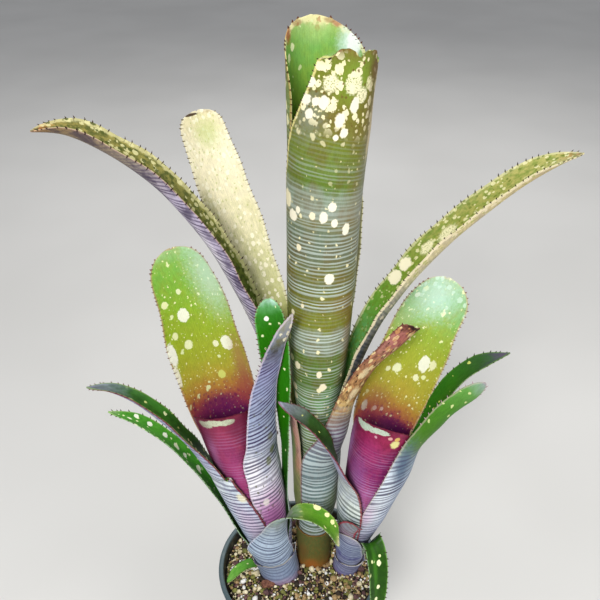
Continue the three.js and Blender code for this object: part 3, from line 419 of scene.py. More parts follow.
class LeafLine:
    """The smooth line through a leaf's stations, with the cross-section's values along it."""

    def __init__(self, shape: LeafShape) -> None:
        """Samples the line; Args: shape is the leaf's table."""
        self.shape = shape
        rows = shape.stations()
        last = len(rows) - 1
        t = np.linspace(0, last, 24 * last + 1)
        k = np.minimum(t.astype(int), last - 1)
        f = (t - k)[:, None]
        p0, p1 = rows[np.maximum(k - 1, 0)], rows[k]
        p2, p3 = rows[k + 1], rows[np.minimum(k + 2, last)]
        a = p2 - p0
        b = 2 * p0 - 5 * p1 + 4 * p2 - p3
        c = 3 * p1 - p0 - 3 * p2 + p3
        self.values = p1 + 0.5 * f * (a + f * (b + f * c))
        steps = np.linalg.norm(np.diff(self.values[:, :3], axis=0), axis=1)
        self.lengths = np.concatenate([[0.0], np.cumsum(steps)])
        self.length = float(self.lengths[-1])

    def at(self, distance: np.ndarray) -> np.ndarray:
        """Returns the seven values at each distance from the foot."""
        columns = [np.interp(distance, self.lengths, self.values[:, n]) for n in range(7)]
        return np.stack(columns, axis=1)

    def frame(self, distance: np.ndarray) -> tuple[np.ndarray, np.ndarray, np.ndarray, np.ndarray]:
        """Returns place values, heading, across and inward directions at each distance."""
        values = self.at(distance)
        ahead = self.at(np.minimum(distance + 0.5, self.length))[:, :3]
        behind = self.at(np.maximum(distance - 0.5, 0))[:, :3]
        heading = ahead - behind
        heading /= np.linalg.norm(heading, axis=1, keepdims=True)
        angle = np.radians(values[:, 6])
        across = np.stack([-np.sin(angle), np.cos(angle), np.zeros_like(angle)], axis=1)
        across = across @ self.shape.plant.tilt().T
        across -= (across * heading).sum(1, keepdims=True) * heading
        across /= np.linalg.norm(across, axis=1, keepdims=True)
        return values, heading, across, np.cross(heading, across)

    def widths(self, distance: np.ndarray) -> tuple[np.ndarray, np.ndarray]:
        """Returns the widths to the left and to the right, narrowed in the rounded tip."""
        shape = self.shape
        values = self.at(distance)
        inside = np.clip(1 - (self.length - distance) / shape.tip, 0, 1)
        end = shape.end if shape.end > 0.5 else 0.05
        rounded = np.maximum(end, (1 - inside ** shape.blunt) ** (1 / shape.blunt))
        return values[:, 3] * rounded, values[:, 4] * rounded


class Socketed(Enum):
    """Kinds of values that a node group takes or gives."""

    NUMBER = "NodeSocketFloat"
    VECTOR = "NodeSocketVector"


def paint(code: str) -> tuple[float, float, float, float]:
    """Turns a hex colour such as 'a0b0c0' into the linear colour that nodes take.

    Args:
        code: Six hex digits.

    Returns:
        Red, green, blue and an alpha of one.
    """
    parts = [int(code[n:n + 2], 16) / 255 for n in (0, 2, 4)]
    linear = [c / 12.92 if c <= 0.04045 else ((c + 0.055) / 1.055) ** 2.4 for c in parts]
    return (*linear, 1.0)


class Nodes:
    """Short ways to add and join nodes in one tree."""

    def __init__(self, tree: bpy.types.NodeTree) -> None:
        """Args: tree is the node tree that is filled."""
        self.tree = tree

    def add(self, kind: str, **settings: Any) -> bpy.types.Node:
        """Adds a node and sets its properties.

        Args:
            kind: The node's type name.
            settings: Properties of the node.

        Returns:
            The new node.
        """
        node = self.tree.nodes.new(kind)
        for name, value in settings.items():
            setattr(node, name, value)
        return node

    def feed(self, socket: bpy.types.NodeSocket, value: Any) -> None:
        """Links a socket to a value's socket, or sets it to a plain value."""
        if isinstance(value, bpy.types.NodeSocket):
            self.tree.links.new(value, socket)
        else:
            socket.default_value = value

    def math(self, operation: str, *values: Any, clamp: bool = False) -> bpy.types.NodeSocket:
        """Adds a Math node; Returns its result."""
        node = self.add("ShaderNodeMath", operation=operation, use_clamp=clamp)
        for socket, value in zip(node.inputs, values):
            self.feed(socket, value)
        return node.outputs[0]

    def total(self, *values: Any) -> bpy.types.NodeSocket:
        """Adds values one after another; Returns the sum."""
        result = values[0]
        for value in values[1:]:
            result = self.math("ADD", result, value)
        return result

    def times(self, a: Any, b: Any) -> bpy.types.NodeSocket:
        """Returns the product of two values."""
        return self.math("MULTIPLY", a, b)

    def mix(self, amount: Any, a: Any, b: Any, blend: str = "MIX") -> bpy.types.NodeSocket:
        """Mixes two colours.

        Args:
            amount: Share of the second colour.
            a: First colour.
            b: Second colour.
            blend: Blend type.

        Returns:
            The mixed colour.
        """
        node = self.add("ShaderNodeMix", data_type="RGBA", blend_type=blend)
        self.feed(node.inputs[0], amount)
        self.feed(node.inputs[6], a)
        self.feed(node.inputs[7], b)
        return node.outputs[2]

    def between(self, amount: Any, a: Any, b: Any) -> bpy.types.NodeSocket:
        """Returns a value that goes from a to b as the amount goes from 0 to 1."""
        node = self.add("ShaderNodeMix", data_type="FLOAT")
        for index, value in ((0, amount), (2, a), (3, b)):
            self.feed(node.inputs[index], value)
        return node.outputs[0]

    def step(self, value: Any, low: Any, high: Any) -> bpy.types.NodeSocket:
        """Returns a smooth step from 0 at low to 1 at high."""
        node = self.add("ShaderNodeMapRange", interpolation_type="SMOOTHSTEP")
        for socket, item in zip(node.inputs, (value, low, high, 0.0, 1.0)):
            self.feed(socket, item)
        return node.outputs[0]

    def place(self, x: Any, y: Any, z: Any = 0.0) -> bpy.types.NodeSocket:
        """Returns a vector of three values."""
        node = self.add("ShaderNodeCombineXYZ")
        for socket, item in zip(node.inputs, (x, y, z)):
            self.feed(socket, item)
        return node.outputs[0]

    def noise(
        self, vector: Any, scale: float, detail: float = 2.0, rough: float = 0.55,
    ) -> bpy.types.NodeSocket:
        """Returns soft noise from 0 to 1 at a scale."""
        node = self.add("ShaderNodeTexNoise", noise_dimensions="3D")
        self.feed(node.inputs["Vector"], vector)
        node.inputs["Scale"].default_value = scale
        node.inputs["Detail"].default_value = detail
        node.inputs["Roughness"].default_value = rough
        return node.outputs[0]

    def ramp(
        self, value: Any, stops: Iterable[tuple[float, Any]], smooth: bool = True,
    ) -> bpy.types.NodeSocket:
        """Adds a colour ramp.

        Args:
            value: Place along the ramp, 0 to 1.
            stops: Pairs of place and colour or grey value.
            smooth: Eases between the stops.

        Returns:
            The ramp's colour.
        """
        node = self.add("ShaderNodeValToRGB")
        ramp = node.color_ramp
        ramp.interpolation = "EASE" if smooth else "LINEAR"
        items = sorted(stops, key=lambda item: item[0])
        ramp.elements.remove(ramp.elements[1])
        for index, (place, colour) in enumerate(items):
            place = min(max(place, 0.0), 1.0)
            element = ramp.elements[0] if index == 0 else ramp.elements.new(place)
            element.position = place
            element.color = paint(colour) if isinstance(colour, str) else (colour, colour, colour, 1.0)
        self.feed(node.inputs[0], value)
        return node.outputs[0]

    def attribute(self, name: str) -> bpy.types.NodeSocket:
        """Returns a value that is stored on the mesh."""
        return self.add("ShaderNodeAttribute", attribute_name=name).outputs["Fac"]

    def group(self, tree: bpy.types.NodeTree, **values: Any) -> bpy.types.NodeSocket:
        """Places a node group with its own values; Returns its first output."""
        node = self.add("ShaderNodeGroup", node_tree=tree)
        for name, value in values.items():
            self.feed(node.inputs[name.replace("_", " ")], value)
        return node.outputs[0]


class Effects:
    """Node groups that the finishes share. Each is built once."""

    def __init__(self) -> None:
        """Builds every group."""
        self.bands = self.make_bands()
        self.spots = self.make_spots()
        self.patch = self.make_patch()
        self.mottle = self.make_mottle()
        self.skin = self.make_skin()
        self.grit = self.make_grit()

    @staticmethod
    def begin(name: str, inputs: dict[str, float], output: str) -> tuple[Nodes, dict[str, Any], Any]:
        """Starts a group.

        Args:
            name: The group's name.
            inputs: Names of its values with their defaults.
            output: Name of what it gives.

        Returns:
            The nodes helper, the inputs by name, and the output socket.
        """
        tree = bpy.data.node_groups.new(name, "ShaderNodeTree")
        for label, value in inputs.items():
            kind = Socketed.VECTOR if label == "Vector" else Socketed.NUMBER
            socket = tree.interface.new_socket(label, in_out="INPUT", socket_type=kind.value)
            if kind is Socketed.NUMBER:
                socket.default_value = value
        tree.interface.new_socket(output, in_out="OUTPUT", socket_type=Socketed.NUMBER.value)
        nodes = Nodes(tree)
        source = nodes.add("NodeGroupInput")
        sink = nodes.add("NodeGroupOutput")
        return nodes, {label: source.outputs[label] for label in inputs}, sink.inputs[0]

    def make_bands(self) -> bpy.types.NodeTree:
        """Returns fine crossbands, as the scurf on a bromeliad's leaf lies in."""
        inputs = {"Across": 0, "Along": 0, "Spacing": 3, "Width": 0.5, "Tilt": 0, "Sag": 0, "Waver": 1,
                  "Patchy": 0.5}
        n, at, out = self.begin("crossbands", inputs, "Mask")
        soft = n.noise(n.place(n.times(at["Across"], 0.055), n.times(at["Along"], 0.05)), 1.0, 2)
        shift = n.times(n.math("SUBTRACT", soft, 0.5), at["Waver"])
        sag = n.times(n.times(at["Across"], at["Across"]), n.times(at["Sag"], 0.01))
        line = n.total(at["Along"], n.times(at["Across"], at["Tilt"]), sag, shift)
        uneven = n.noise(n.place(0.0, n.times(line, 0.16)), 1.0, 1)
        phase = n.total(n.math("DIVIDE", line, at["Spacing"]), n.times(uneven, 1.6))
        wave = n.math("MULTIPLY_ADD", n.math("SINE", n.times(phase, math.tau)), 0.5, 0.5)
        edge = n.math("SUBTRACT", 1.0, at["Width"])
        broken = n.noise(n.place(n.times(at["Across"], 0.12), n.times(line, 0.55)), 1.0, 2)
        level = n.total(wave, n.times(n.math("SUBTRACT", broken, 0.5), 0.75))
        low, high = n.math("SUBTRACT", edge, 0.17), n.math("ADD", edge, 0.17)
        zone = n.noise(n.place(n.times(at["Across"], 0.02), n.times(at["Along"], 0.075), 7.0), 1.0, 2)
        fade = n.times(at["Patchy"], n.math("SUBTRACT", 1.0, n.step(zone, 0.44, 0.55)))
        n.feed(out, n.times(n.step(level, low, high), n.math("SUBTRACT", 1.0, fade)))
        return n.tree

    def make_spots(self) -> bpy.types.NodeTree:
        """Returns scattered round spots of uneven size."""
        inputs = {"Across": 0, "Along": 0, "Cell": 8, "Share": 0.4, "Size": 0.3, "Stretch": 1, "Seed": 0}
        n, at, out = self.begin("scattered_spots", inputs, "Mask")
        x = n.math("DIVIDE", at["Across"], at["Cell"])
        y = n.math("DIVIDE", n.math("DIVIDE", at["Along"], at["Stretch"]), at["Cell"])
        wobble = n.noise(n.place(x, y, at["Seed"]), 3.2, 1)
        push = n.times(n.math("SUBTRACT", wobble, 0.5), 0.38)
        spot = n.place(n.total(x, push, at["Seed"]), n.math("SUBTRACT", y, push))
        cells = n.add("ShaderNodeTexVoronoi", voronoi_dimensions="2D", feature="F1")
        n.feed(cells.inputs["Vector"], spot)
        cells.inputs["Scale"].default_value = 1.0
        chance = n.add("ShaderNodeSeparateColor")
        n.feed(chance.inputs[0], cells.outputs["Color"])
        kept = n.math("LESS_THAN", chance.outputs[0], at["Share"])
        size = n.times(at["Size"], n.math("MULTIPLY_ADD", chance.outputs[1], 0.75, 0.3))
        inner, outer = n.math("SUBTRACT", size, 0.035), n.math("ADD", size, 0.035)
        fade = n.math("SUBTRACT", 1.0, n.step(cells.outputs["Distance"], inner, outer))
        n.feed(out, n.times(fade, kept))
        return n.tree

    def make_patch(self) -> bpy.types.NodeTree:
        """Returns one rounded patch at a place on the leaf."""
        inputs = {
            "Across": 0, "Along": 0, "At Across": 0, "At Along": 0, "Radius": 3, "Stretch": 1, "Soft": 0.15,
            "Lace": 0,
        }
        n, at, out = self.begin("placed_patch", inputs, "Mask")
        x = n.math("SUBTRACT", at["Across"], at["At Across"])
        y = n.math("DIVIDE", n.math("SUBTRACT", at["Along"], at["At Along"]), at["Stretch"])
        far = n.math("SQRT", n.total(n.times(x, x), n.times(y, y)))
        ratio = n.math("DIVIDE", far, at["Radius"])
        rough = n.noise(n.place(n.times(at["Across"], 0.62), n.times(at["Along"], 0.62)), 1.0, 3)
        level = n.total(ratio, n.times(n.math("SUBTRACT", rough, 0.5), n.math("ADD", at["Soft"], 0.6)))
        low, high = n.math("SUBTRACT", 1.0, at["Soft"]), n.math("ADD", 1.0, at["Soft"])
        holes = n.noise(n.place(n.times(at["Across"], 1.15), n.times(at["Along"], 1.15), 3.0), 1.0, 2)
        whole = n.math("SUBTRACT", 1.0, n.times(at["Lace"], n.step(holes, 0.52, 0.6)))
        n.feed(out, n.times(whole, n.math("SUBTRACT", 1.0, n.step(level, low, high))))
        return n.tree

    def make_mottle(self) -> bpy.types.NodeTree:
        """Returns cloudy patches that run a little along the leaf."""
        inputs = {"Across": 0, "Along": 0, "Size": 12, "Seed": 0, "Sharp": 0.12}
        n, at, out = self.begin("mottle", inputs, "Mask")
        x = n.math("DIVIDE", at["Across"], at["Size"])
        y = n.math("DIVIDE", at["Along"], n.times(at["Size"], 1.5))
        cloud = n.noise(n.place(x, y, at["Seed"]), 1.6, 4, 0.6)
        low, high = n.math("SUBTRACT", 0.52, at["Sharp"]), n.math("ADD", 0.52, at["Sharp"])
        n.feed(out, n.step(cloud, low, high))
        return n.tree

    def make_skin(self) -> bpy.types.NodeTree:
        """Returns the leaf skin's height: long fine veins and small pits."""
        n, at, out = self.begin("leaf_skin", {"Across": 0, "Along": 0}, "Height")
        drift = n.noise(n.place(n.times(at["Across"], 0.3), n.times(at["Along"], 0.03)), 1.0, 1)
        veins = n.math("SINE", n.times(n.total(at["Across"], drift), math.tau / 1.15))
        pits = n.noise(n.place(n.times(at["Across"], 1.6), n.times(at["Along"], 1.1)), 1.0, 3)
        swell = n.noise(n.place(n.times(at["Across"], 0.14), n.times(at["Along"], 0.06)), 1.0, 1)
        n.feed(out, n.total(n.times(veins, 0.12), n.times(pits, 0.5), n.times(swell, 1.4)))
        return n.tree

    def make_grit(self) -> bpy.types.NodeTree:
        """Returns grainy unevenness for stones, mix and plastic."""
        n, at, out = self.begin("grit", {"Vector": 0, "Scale": 900, "Coarse": 0.5}, "Height")
        node = n.add("ShaderNodeTexNoise", noise_dimensions="3D")
        n.feed(node.inputs["Vector"], at["Vector"])
        n.feed(node.inputs["Scale"], at["Scale"])
        node.inputs["Detail"].default_value = 4.0
        wide = n.add("ShaderNodeTexNoise", noise_dimensions="3D")
        n.feed(wide.inputs["Vector"], at["Vector"])
        n.feed(wide.inputs["Scale"], n.times(at["Scale"], 0.22))
        both = n.math("ADD", node.outputs[0], n.times(wide.outputs[0], at["Coarse"]))
        n.feed(out, n.math("DIVIDE", both, n.math("ADD", at["Coarse"], 1.0)))
        return n.tree


@dataclass(frozen=True)
class Bands:
    """Crossbands on one face of a leaf.

    strength holds pairs of distance along the leaf and how strongly the bands show there.
    """

    colour: str
    spacing: float
    width: float
    strength: tuple[tuple[float, float], ...] = ((0, 1),)
    tilt: float = 0.0
    sag: float = 0.0
    waver: float = 2.2
    patchy: float = 0.35
    tilt_from: tuple[float, float] = (-2.0, -1.0)


@dataclass(frozen=True)
class Spots:
    """Scattered pale spots; reach holds pairs of distance along the leaf and strength."""

    colour: str
    cell: float
    share: float
    size: float
    reach: tuple[tuple[float, float], ...] = ((0, 1),)
    stretch: float = 1.3
    seed: float = 0.0


@dataclass(frozen=True)
class Patch:
    """One patch at a place on the leaf, in millimetres across and along."""

    colour: str
    across: float
    along: float
    radius: float
    stretch: float = 1.2
    soft: float = 0.15
    amount: float = 1.0
    lace: float = 0.0
    under: bool = False


@dataclass(frozen=True)
class Side:
    """The looks of one face of a leaf; distances are in millimetres from its foot."""

    stops: tuple[tuple[float, str], ...]
    mottle: str = "5a6a30"
    mottle_amount: float = 0.3
    mottle_size: float = 12.0
    bands: Bands | None = None
    spots: tuple[Spots, ...] = ()
    patches: tuple[Patch, ...] = ()
    margin: str = "d8cf98"
    margin_width: float = 1.2
    margin_amount: float = 0.6
    rough: float = 0.42
    mottle_reach: tuple[tuple[float, float], ...] = ((0, 1),)
    margin_reach: tuple[tuple[float, float], ...] = ((0, 1),)


@dataclass(frozen=True)
class LeafLook:
    """Both faces of a leaf and its spines."""

    slot: str
    outer: Side
    inner: Side
    spines_from: float
    spine: str = "3a2a1c"
    spine_length: float = 1.4
    pitch: float = 4.0
    coat: float = 0.03
    shine: float = 0.14
    tipped: bool = True
    corner: float = 0.9
    dips: tuple[tuple[float, float], ...] = ()


class LeafFinish:
    """Makes the material of one leaf from its looks."""

    def __init__(self, effects: Effects) -> None:
        """Args: effects holds the shared node groups."""
        self.effects = effects

    def side(
        self, n: Nodes, look: Side, at: dict[str, Any], length: float, seed: float,
    ) -> tuple[Any, Any, Any]:
        """Builds the nodes of one face.

        Args:
            n: The material's nodes.
            look: The face's looks.
            at: Across, along, rim and share of the length.
            length: The leaf's length.
            seed: Shifts the noise of this leaf.

        Returns:
            The colour, the band mask and the roughness.
        """
        across, along = at["across"], at["along"]
        spot = {"Across": across, "Along": along}
        scaled = [(distance / length, colour) for distance, colour in look.stops]
        drift = n.noise(n.place(n.times(across, 0.09), n.times(along, 0.05), seed), 1.0, 3)
        place = n.total(at["share"], n.times(n.math("SUBTRACT", drift, 0.5), 14 / length))
        colour = n.ramp(place, scaled, smooth=False)
        cloud = n.group(self.effects.mottle, **spot, Size=look.mottle_size, Seed=seed)
        cloud = n.times(cloud, self.strength(n, look.mottle_reach, at["share"], length))
        colour = n.mix(n.times(cloud, look.mottle_amount), colour, paint(look.mottle))
        grain = n.noise(n.place(n.times(across, 0.9), n.times(along, 0.28), seed), 1.0, 3)
        speck = n.noise(n.place(n.times(across, 2.6), n.times(along, 1.9), seed), 1.0, 2)
        tone = n.total(n.times(grain, 0.55), n.times(speck, 0.4), 0.52)
        colour = n.mix(1.0, colour, tone, "MULTIPLY")
        colour = self.patches(n, [patch for patch in look.patches if patch.under], spot, colour)
        mask: Any = 0.0
        if look.bands:
            bands = look.bands
            tilt: Any = bands.tilt
            if bands.tilt and bands.tilt_from[0] > 0:
                low, high = (distance / length for distance in bands.tilt_from)
                tilt = n.times(n.step(at["share"], low, high), bands.tilt)
            mask = n.group(
                self.effects.bands, **spot, Spacing=bands.spacing, Width=bands.width,
                Tilt=tilt, Sag=bands.sag, Waver=bands.waver, Patchy=bands.patchy,
            )
            mask = n.times(mask, self.strength(n, bands.strength, at["share"], length))
            colour = n.mix(mask, colour, paint(bands.colour))
        ragged = n.noise(n.place(n.times(across, 0.3), n.times(along, 0.3), seed), 1.0, 2)
        reach = n.times(n.math("MULTIPLY_ADD", ragged, 1.6, 0.2), look.margin_width)
        reach = n.times(reach, self.strength(n, look.margin_reach, at["share"], length))
        near = n.math("SUBTRACT", 1.0, n.step(at["rim"], n.times(reach, 0.55), reach))
        colour = n.mix(n.times(near, look.margin_amount), colour, paint(look.margin))
        for spots in look.spots:
            dots = n.group(
                self.effects.spots, **spot, Cell=spots.cell, Share=spots.share, Size=spots.size,
                Stretch=spots.stretch, Seed=spots.seed + seed,
            )
            dots = n.times(dots, self.strength(n, spots.reach, at["share"], length))
            colour = n.mix(dots, colour, paint(spots.colour))
        colour = self.patches(n, [patch for patch in look.patches if not patch.under], spot, colour)
        rough = n.math("MULTIPLY_ADD", grain, 0.16, look.rough + 0.02)
        rough = n.total(rough, n.times(mask, 0.1))
        return colour, mask, rough

    def patches(self, n: Nodes, patches: list[Patch], spot: dict[str, Any], colour: Any) -> Any:
        """Lays placed patches over a colour.

        Args:
            n: The material's nodes.
            patches: The patches, lowest first.
            spot: The leaf's two distances, as the groups name them.
            colour: The colour below.

        Returns:
            The colour with the patches on it.
        """
        for patch in patches:
            blot = n.group(
                self.effects.patch, **spot, At_Across=patch.across, At_Along=patch.along,
                Radius=patch.radius, Stretch=patch.stretch, Soft=patch.soft, Lace=patch.lace,
            )
            colour = n.mix(n.times(blot, patch.amount), colour, paint(patch.colour))
        return colour

    @staticmethod
    def strength(n: Nodes, pairs: tuple[tuple[float, float], ...], share: Any, length: float) -> Any:
        """Returns how strongly an effect shows along the leaf."""
        if len(pairs) == 1:
            return pairs[0][1]
        return n.ramp(share, [(distance / length, float(amount)) for distance, amount in pairs], smooth=False)

    def make(self, name: str, look: LeafLook, length: float, seed: float) -> bpy.types.Material:
        """Builds the whole material.

        Args:
            name: The material's name.
            look: The leaf's looks.
            length: The leaf's length.
            seed: Shifts the noise of this leaf.

        Returns:
            The material.
        """
        material = bpy.data.materials.new(name)
        material.use_nodes = True
        n = Nodes(material.node_tree)
        shader = n.tree.nodes["Principled BSDF"]
        at = {key: n.attribute(key) for key in ("across", "along", "rim")}
        at["share"] = n.math("DIVIDE", at["along"], length)
        inner = n.attribute("inner")
        out_colour, out_bands, out_rough = self.side(n, look.outer, at, length, seed)
        in_colour, in_bands, in_rough = self.side(n, look.inner, at, length, seed + 5.3)
        colour = n.mix(inner, out_colour, in_colour)
        spine = n.step(n.attribute("spine"), 0.12, 0.4)
        n.feed(shader.inputs["Base Color"], n.mix(spine, colour, paint(look.spine)))
        n.feed(shader.inputs["Roughness"], n.between(inner, out_rough, in_rough))
        shader.inputs["Specular IOR Level"].default_value = look.shine
        shader.inputs["Coat Weight"].default_value = look.coat
        shader.inputs["Coat Roughness"].default_value = 0.28
        skin = n.group(self.effects.skin, Across=at["across"], Along=at["along"])
        bands = n.between(inner, out_bands, in_bands)
        bump = n.add("ShaderNodeBump")
        bump.inputs["Strength"].default_value = 0.35
        bump.inputs["Distance"].default_value = 0.0004
        n.feed(bump.inputs["Height"], n.total(skin, n.times(bands, 0.35)))
        n.feed(shader.inputs["Normal"], bump.outputs[0])
        return material


def deselect() -> None:
    """Leaves nothing selected."""
    bpy.ops.object.select_all(action="DESELECT")


def finish_piece(piece: bpy.types.Object, name: str, slot: str, *replaced: str) -> None:
    """Names a piece, lets it ride on the part and hides the CAD nodes that it replaces.

    Args:
        piece: The finished object.
        name: Its name.
        slot: Not used.
        replaced: CAD nodes that it replaces.
    """
    piece.name = name
    piece.data.name = name
    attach(piece, "root")
    if replaced:
        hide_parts(*replaced)
    LOG.info("%s: %d faces", name, len(piece.data.polygons))


def dress(piece: bpy.types.Object, material: bpy.types.Material) -> None:
    """Gives a piece its one material."""
    piece.data.materials.clear()
    piece.data.materials.append(material)


def smooth(piece: bpy.types.Object, degrees: float) -> None:
    """Shades a piece smooth, with its edges above an angle kept sharp."""
    deselect()
    piece.select_set(True)
    bpy.context.view_layer.objects.active = piece
    bpy.ops.object.shade_smooth_by_angle(angle=math.radians(degrees))


@dataclass
class LeafPiece:
    """One leaf as a fine grid laid over its line, with spines and its own thickness."""

    name: str
    shape: LeafShape
    look: LeafLook
    seed: int
    column_width: float = 2.1
    row_step: float = 2.3
    ripple: float = 0.3
    corner_start: float = 0.62
    corner_curve: float = 2.4
    dip_width: float = 0.09
    ragged_length: float = 9.0
    ragged_height: float = 0.3

    def rows(self, line: LeafLine, random: np.random.Generator) -> tuple[np.ndarray, np.ndarray]:
        """Chooses the rows: even ones, three for each spine, and close ones in the tip.

        Args:
            line: The leaf's line.
            random: Source of the uneven spacing.

        Returns:
            Distances of the rows, and for each row whether a spine stands on it.
        """
        length, tip = line.length, self.shape.tip
        rows = {float(d): False for d in np.arange(0, length - tip, self.row_step)}
        count = 12
        for i in range(count + 1):
            rows[length - tip * (1 - math.sin(math.pi / 2 * i / count))] = False
        spines = []
        spot = self.look.spines_from
        while spot < length - 1.0:
            spines.append(spot)
            near_tip = spot > length - tip * 0.6
            spot += self.look.pitch * (0.6 if near_tip else 1.0) * random.uniform(0.75, 1.25)
        for spot in spines:
            for old in [d for d in rows if abs(d - spot) < 1.0 and not rows[d] and d < length]:
                del rows[old]
            rows[spot - 0.42], rows[spot], rows[spot + 0.42] = False, True, False
        rows[0.0] = rows[length] = False
        order = sorted(d for d in rows if 0 <= d <= length)
        kept = [order[0]]
        for d in order[1:]:
            if d - kept[-1] > 0.16 or rows[d] or d == length:
                kept.append(d)
        return np.array(kept), np.array([rows[d] for d in kept])

    def surface(self) -> tuple[np.ndarray, dict[str, np.ndarray]]:
        """Works out every point of the outer face.

        Returns:
            Points in metres as rows by columns by three, and the values stored with them.
        """
        random = np.random.default_rng(self.seed)
        line = LeafLine(self.shape)
        distance, spiny = self.rows(line, random)
        values, heading, across, inward = line.frame(distance)
        left, right = line.widths(distance)
        free = np.clip((distance - self.look.spines_from) / 40, 0, 1)
        phase = random.uniform(0, 6, 4)
        left = left * (1 + 0.02 * free * np.sin(distance / 6.1 + phase[0]))
        right = right * (1 + 0.02 * free * np.sin(distance / 7.3 + phase[1]))
        columns = max(8, int(round(float((left + right).max()) / self.column_width)))
        share = np.linspace(0, 1, columns + 1)[None, :]
        s = -left[:, None] + (left + right)[:, None] * share
        angle = s * values[:, 5:6]
        edge = np.abs(2 * share - 1)
        left_wave = np.sin(distance / 4.3 + phase[2])[:, None]
        right_wave = np.sin(distance / 5.1 + phase[3])[:, None]
        wave = np.where(share < 0.5, left_wave, right_wave)
        lift = (1 - np.cos(angle)) / values[:, 5:6] + self.ripple * wave * edge ** 4 * free[:, None]
        reach = np.sin(angle) / values[:, 5:6]
        points = values[:, None, :3] + inward[:, None] * lift[..., None] + across[:, None] * reach[..., None]
        if self.shape.end > 0.5:
            self.ragged_end(points, heading, share[0], line.length - distance, random)
        rim = np.minimum(s + left[:, None], right[:, None] - s)
        if self.look.tipped:
            rim = np.minimum(rim, (line.length - distance)[:, None] + 0.3)
        spine = np.zeros_like(s)
        wall = np.repeat(1 - 0.35 * edge ** 6, len(distance), axis=0)
        for i in np.flatnonzero(spiny):
            for j, beside in ((0, 1), (columns, columns - 1)):
                if random.random() < 0.08:
                    continue
                run = points[i + 1, j] - points[i - 1, j]
                run /= np.linalg.norm(run) + 1e-9
                away = points[i, j] - points[i, beside]
                away -= away @ run * run
                away /= np.linalg.norm(away) + 1e-9
                size = self.look.spine_length * random.uniform(0.7, 1.15)
                lean = random.uniform(0.25, 0.75)
                points[i, j] += size * (away + lean * run)
                spine[i, j] = 1.0
                wall[i, j] = 0.12
        flat = {
            "across": s, "along": np.repeat(distance[:, None], columns + 1, axis=1),
            "rim": np.maximum(rim, 0), "spine": spine, "wall": wall,
        }
        return points * MM, flat

    def ragged_end(
        self, points: np.ndarray, heading: np.ndarray, share: np.ndarray, left: np.ndarray,
        random: np.random.Generator,
    ) -> None:
        """Makes a cut-off end uneven: its last rows rise and dip a little across the leaf.

        Args:
            points: The leaf's points, changed in place.
            heading: Direction along the leaf for each row.
            share: Place across the leaf of each column.
            left: Distance from each row to the end.
            random: Source of the unevenness.
        """
        phase = random.uniform(0, 6, 3)
        broad, middling = np.sin(share * 9 + phase[0]), 0.7 * np.sin(share * 21 + phase[1])
        waves = broad + middling + 0.5 * np.sin(share * 47 + phase[2])
        out = (np.abs(2 * share - 1) - self.corner_start) / (1 - self.corner_start)
        drop = self.look.corner * np.clip(out, 0, 1) ** self.corner_curve
        for place, deep in self.look.dips:
            drop += deep * np.exp(-(((share - place) / self.dip_width) ** 2))
        pull = np.clip(1 - left / self.ragged_length, 0, 1) ** 1.5
        points += heading[:, None] * (pull[:, None] * (self.ragged_height * waves - 0.5 - drop))[..., None]

    def build(self, finish: LeafFinish) -> bpy.types.Object:
        """Makes the leaf's object from a flat grid.

        Args:
            finish: Makes the leaf's material.

        Returns:
            The finished piece.
        """
        points, stored = self.surface()
        rows, columns = points.shape[:2]
        deselect()
        bpy.ops.mesh.primitive_grid_add(
            x_subdivisions=columns - 1, y_subdivisions=rows - 1, size=2, calc_uvs=False,
        )
        piece = bpy.context.object
        mesh = piece.data
        flat = np.empty(len(mesh.vertices) * 3)
        mesh.vertices.foreach_get("co", flat)
        flat = flat.reshape(-1, 3)
        j = np.rint((flat[:, 0] + 1) / 2 * (columns - 1)).astype(int)
        i = np.rint((flat[:, 1] + 1) / 2 * (rows - 1)).astype(int)
        mesh.vertices.foreach_set("co", points[i, j].ravel())
        for key in ("across", "along", "rim", "spine"):
            layer = mesh.attributes.new(key, "FLOAT", "POINT")
            layer.data.foreach_set("value", stored[key][i, j].astype(np.float32))
        wall = piece.vertex_groups.new(name="wall")
        weights = np.round(stored["wall"][i, j], 2)
        for weight in np.unique(weights):
            wall.add(np.flatnonzero(weights == weight).tolist(), float(weight), "REPLACE")
        solid = piece.modifiers.new("wall", "SOLIDIFY")
        solid.thickness = LEAF_THICKNESS * MM
        solid.offset = -1
        solid.use_even_offset = False
        solid.vertex_group = "wall"
        solid.thickness_vertex_group = 0.0
        bpy.ops.object.modifier_apply(modifier=solid.name)
        inner = mesh.attributes.new("inner", "FLOAT", "POINT")
        flags = np.zeros(len(mesh.vertices), np.float32)
        flags[rows * columns:] = 1
        inner.data.foreach_set("value", flags)
        smooth(piece, 48)
        length = LeafLine(self.shape).length
        dress(piece, finish.make(f"{self.name}_finish", self.look, length, self.seed * 1.7 % 50))
        finish_piece(piece, f"{self.name}_dressed", self.look.slot, self.name)
        return piece


def silver(ground: tuple[tuple[float, str], ...], band: str = "5d4672", **changes: Any) -> Side:
    """Returns the silvery outer face that most sheaths have, with thin dark crossbands."""
    strength = changes.pop("strength", ((0, 0.85),))
    bands = Bands(
        band, changes.pop("spacing", 3.9), changes.pop("width", 0.36), strength, changes.pop("tilt", 0.0),
        changes.pop("sag", 0.0), patchy=changes.pop("patchy", 0.3),
        tilt_from=changes.pop("tilt_from", (-2.0, -1.0)),
    )
    values: dict[str, Any] = {
        "mottle": "9aa3bb", "mottle_amount": 0.4, "margin": "d8d2dc", "margin_width": 1.1,
        "margin_amount": 0.35, "rough": 0.5,
    }
    values.update(changes)
    return Side(stops=ground, bands=bands, **values)


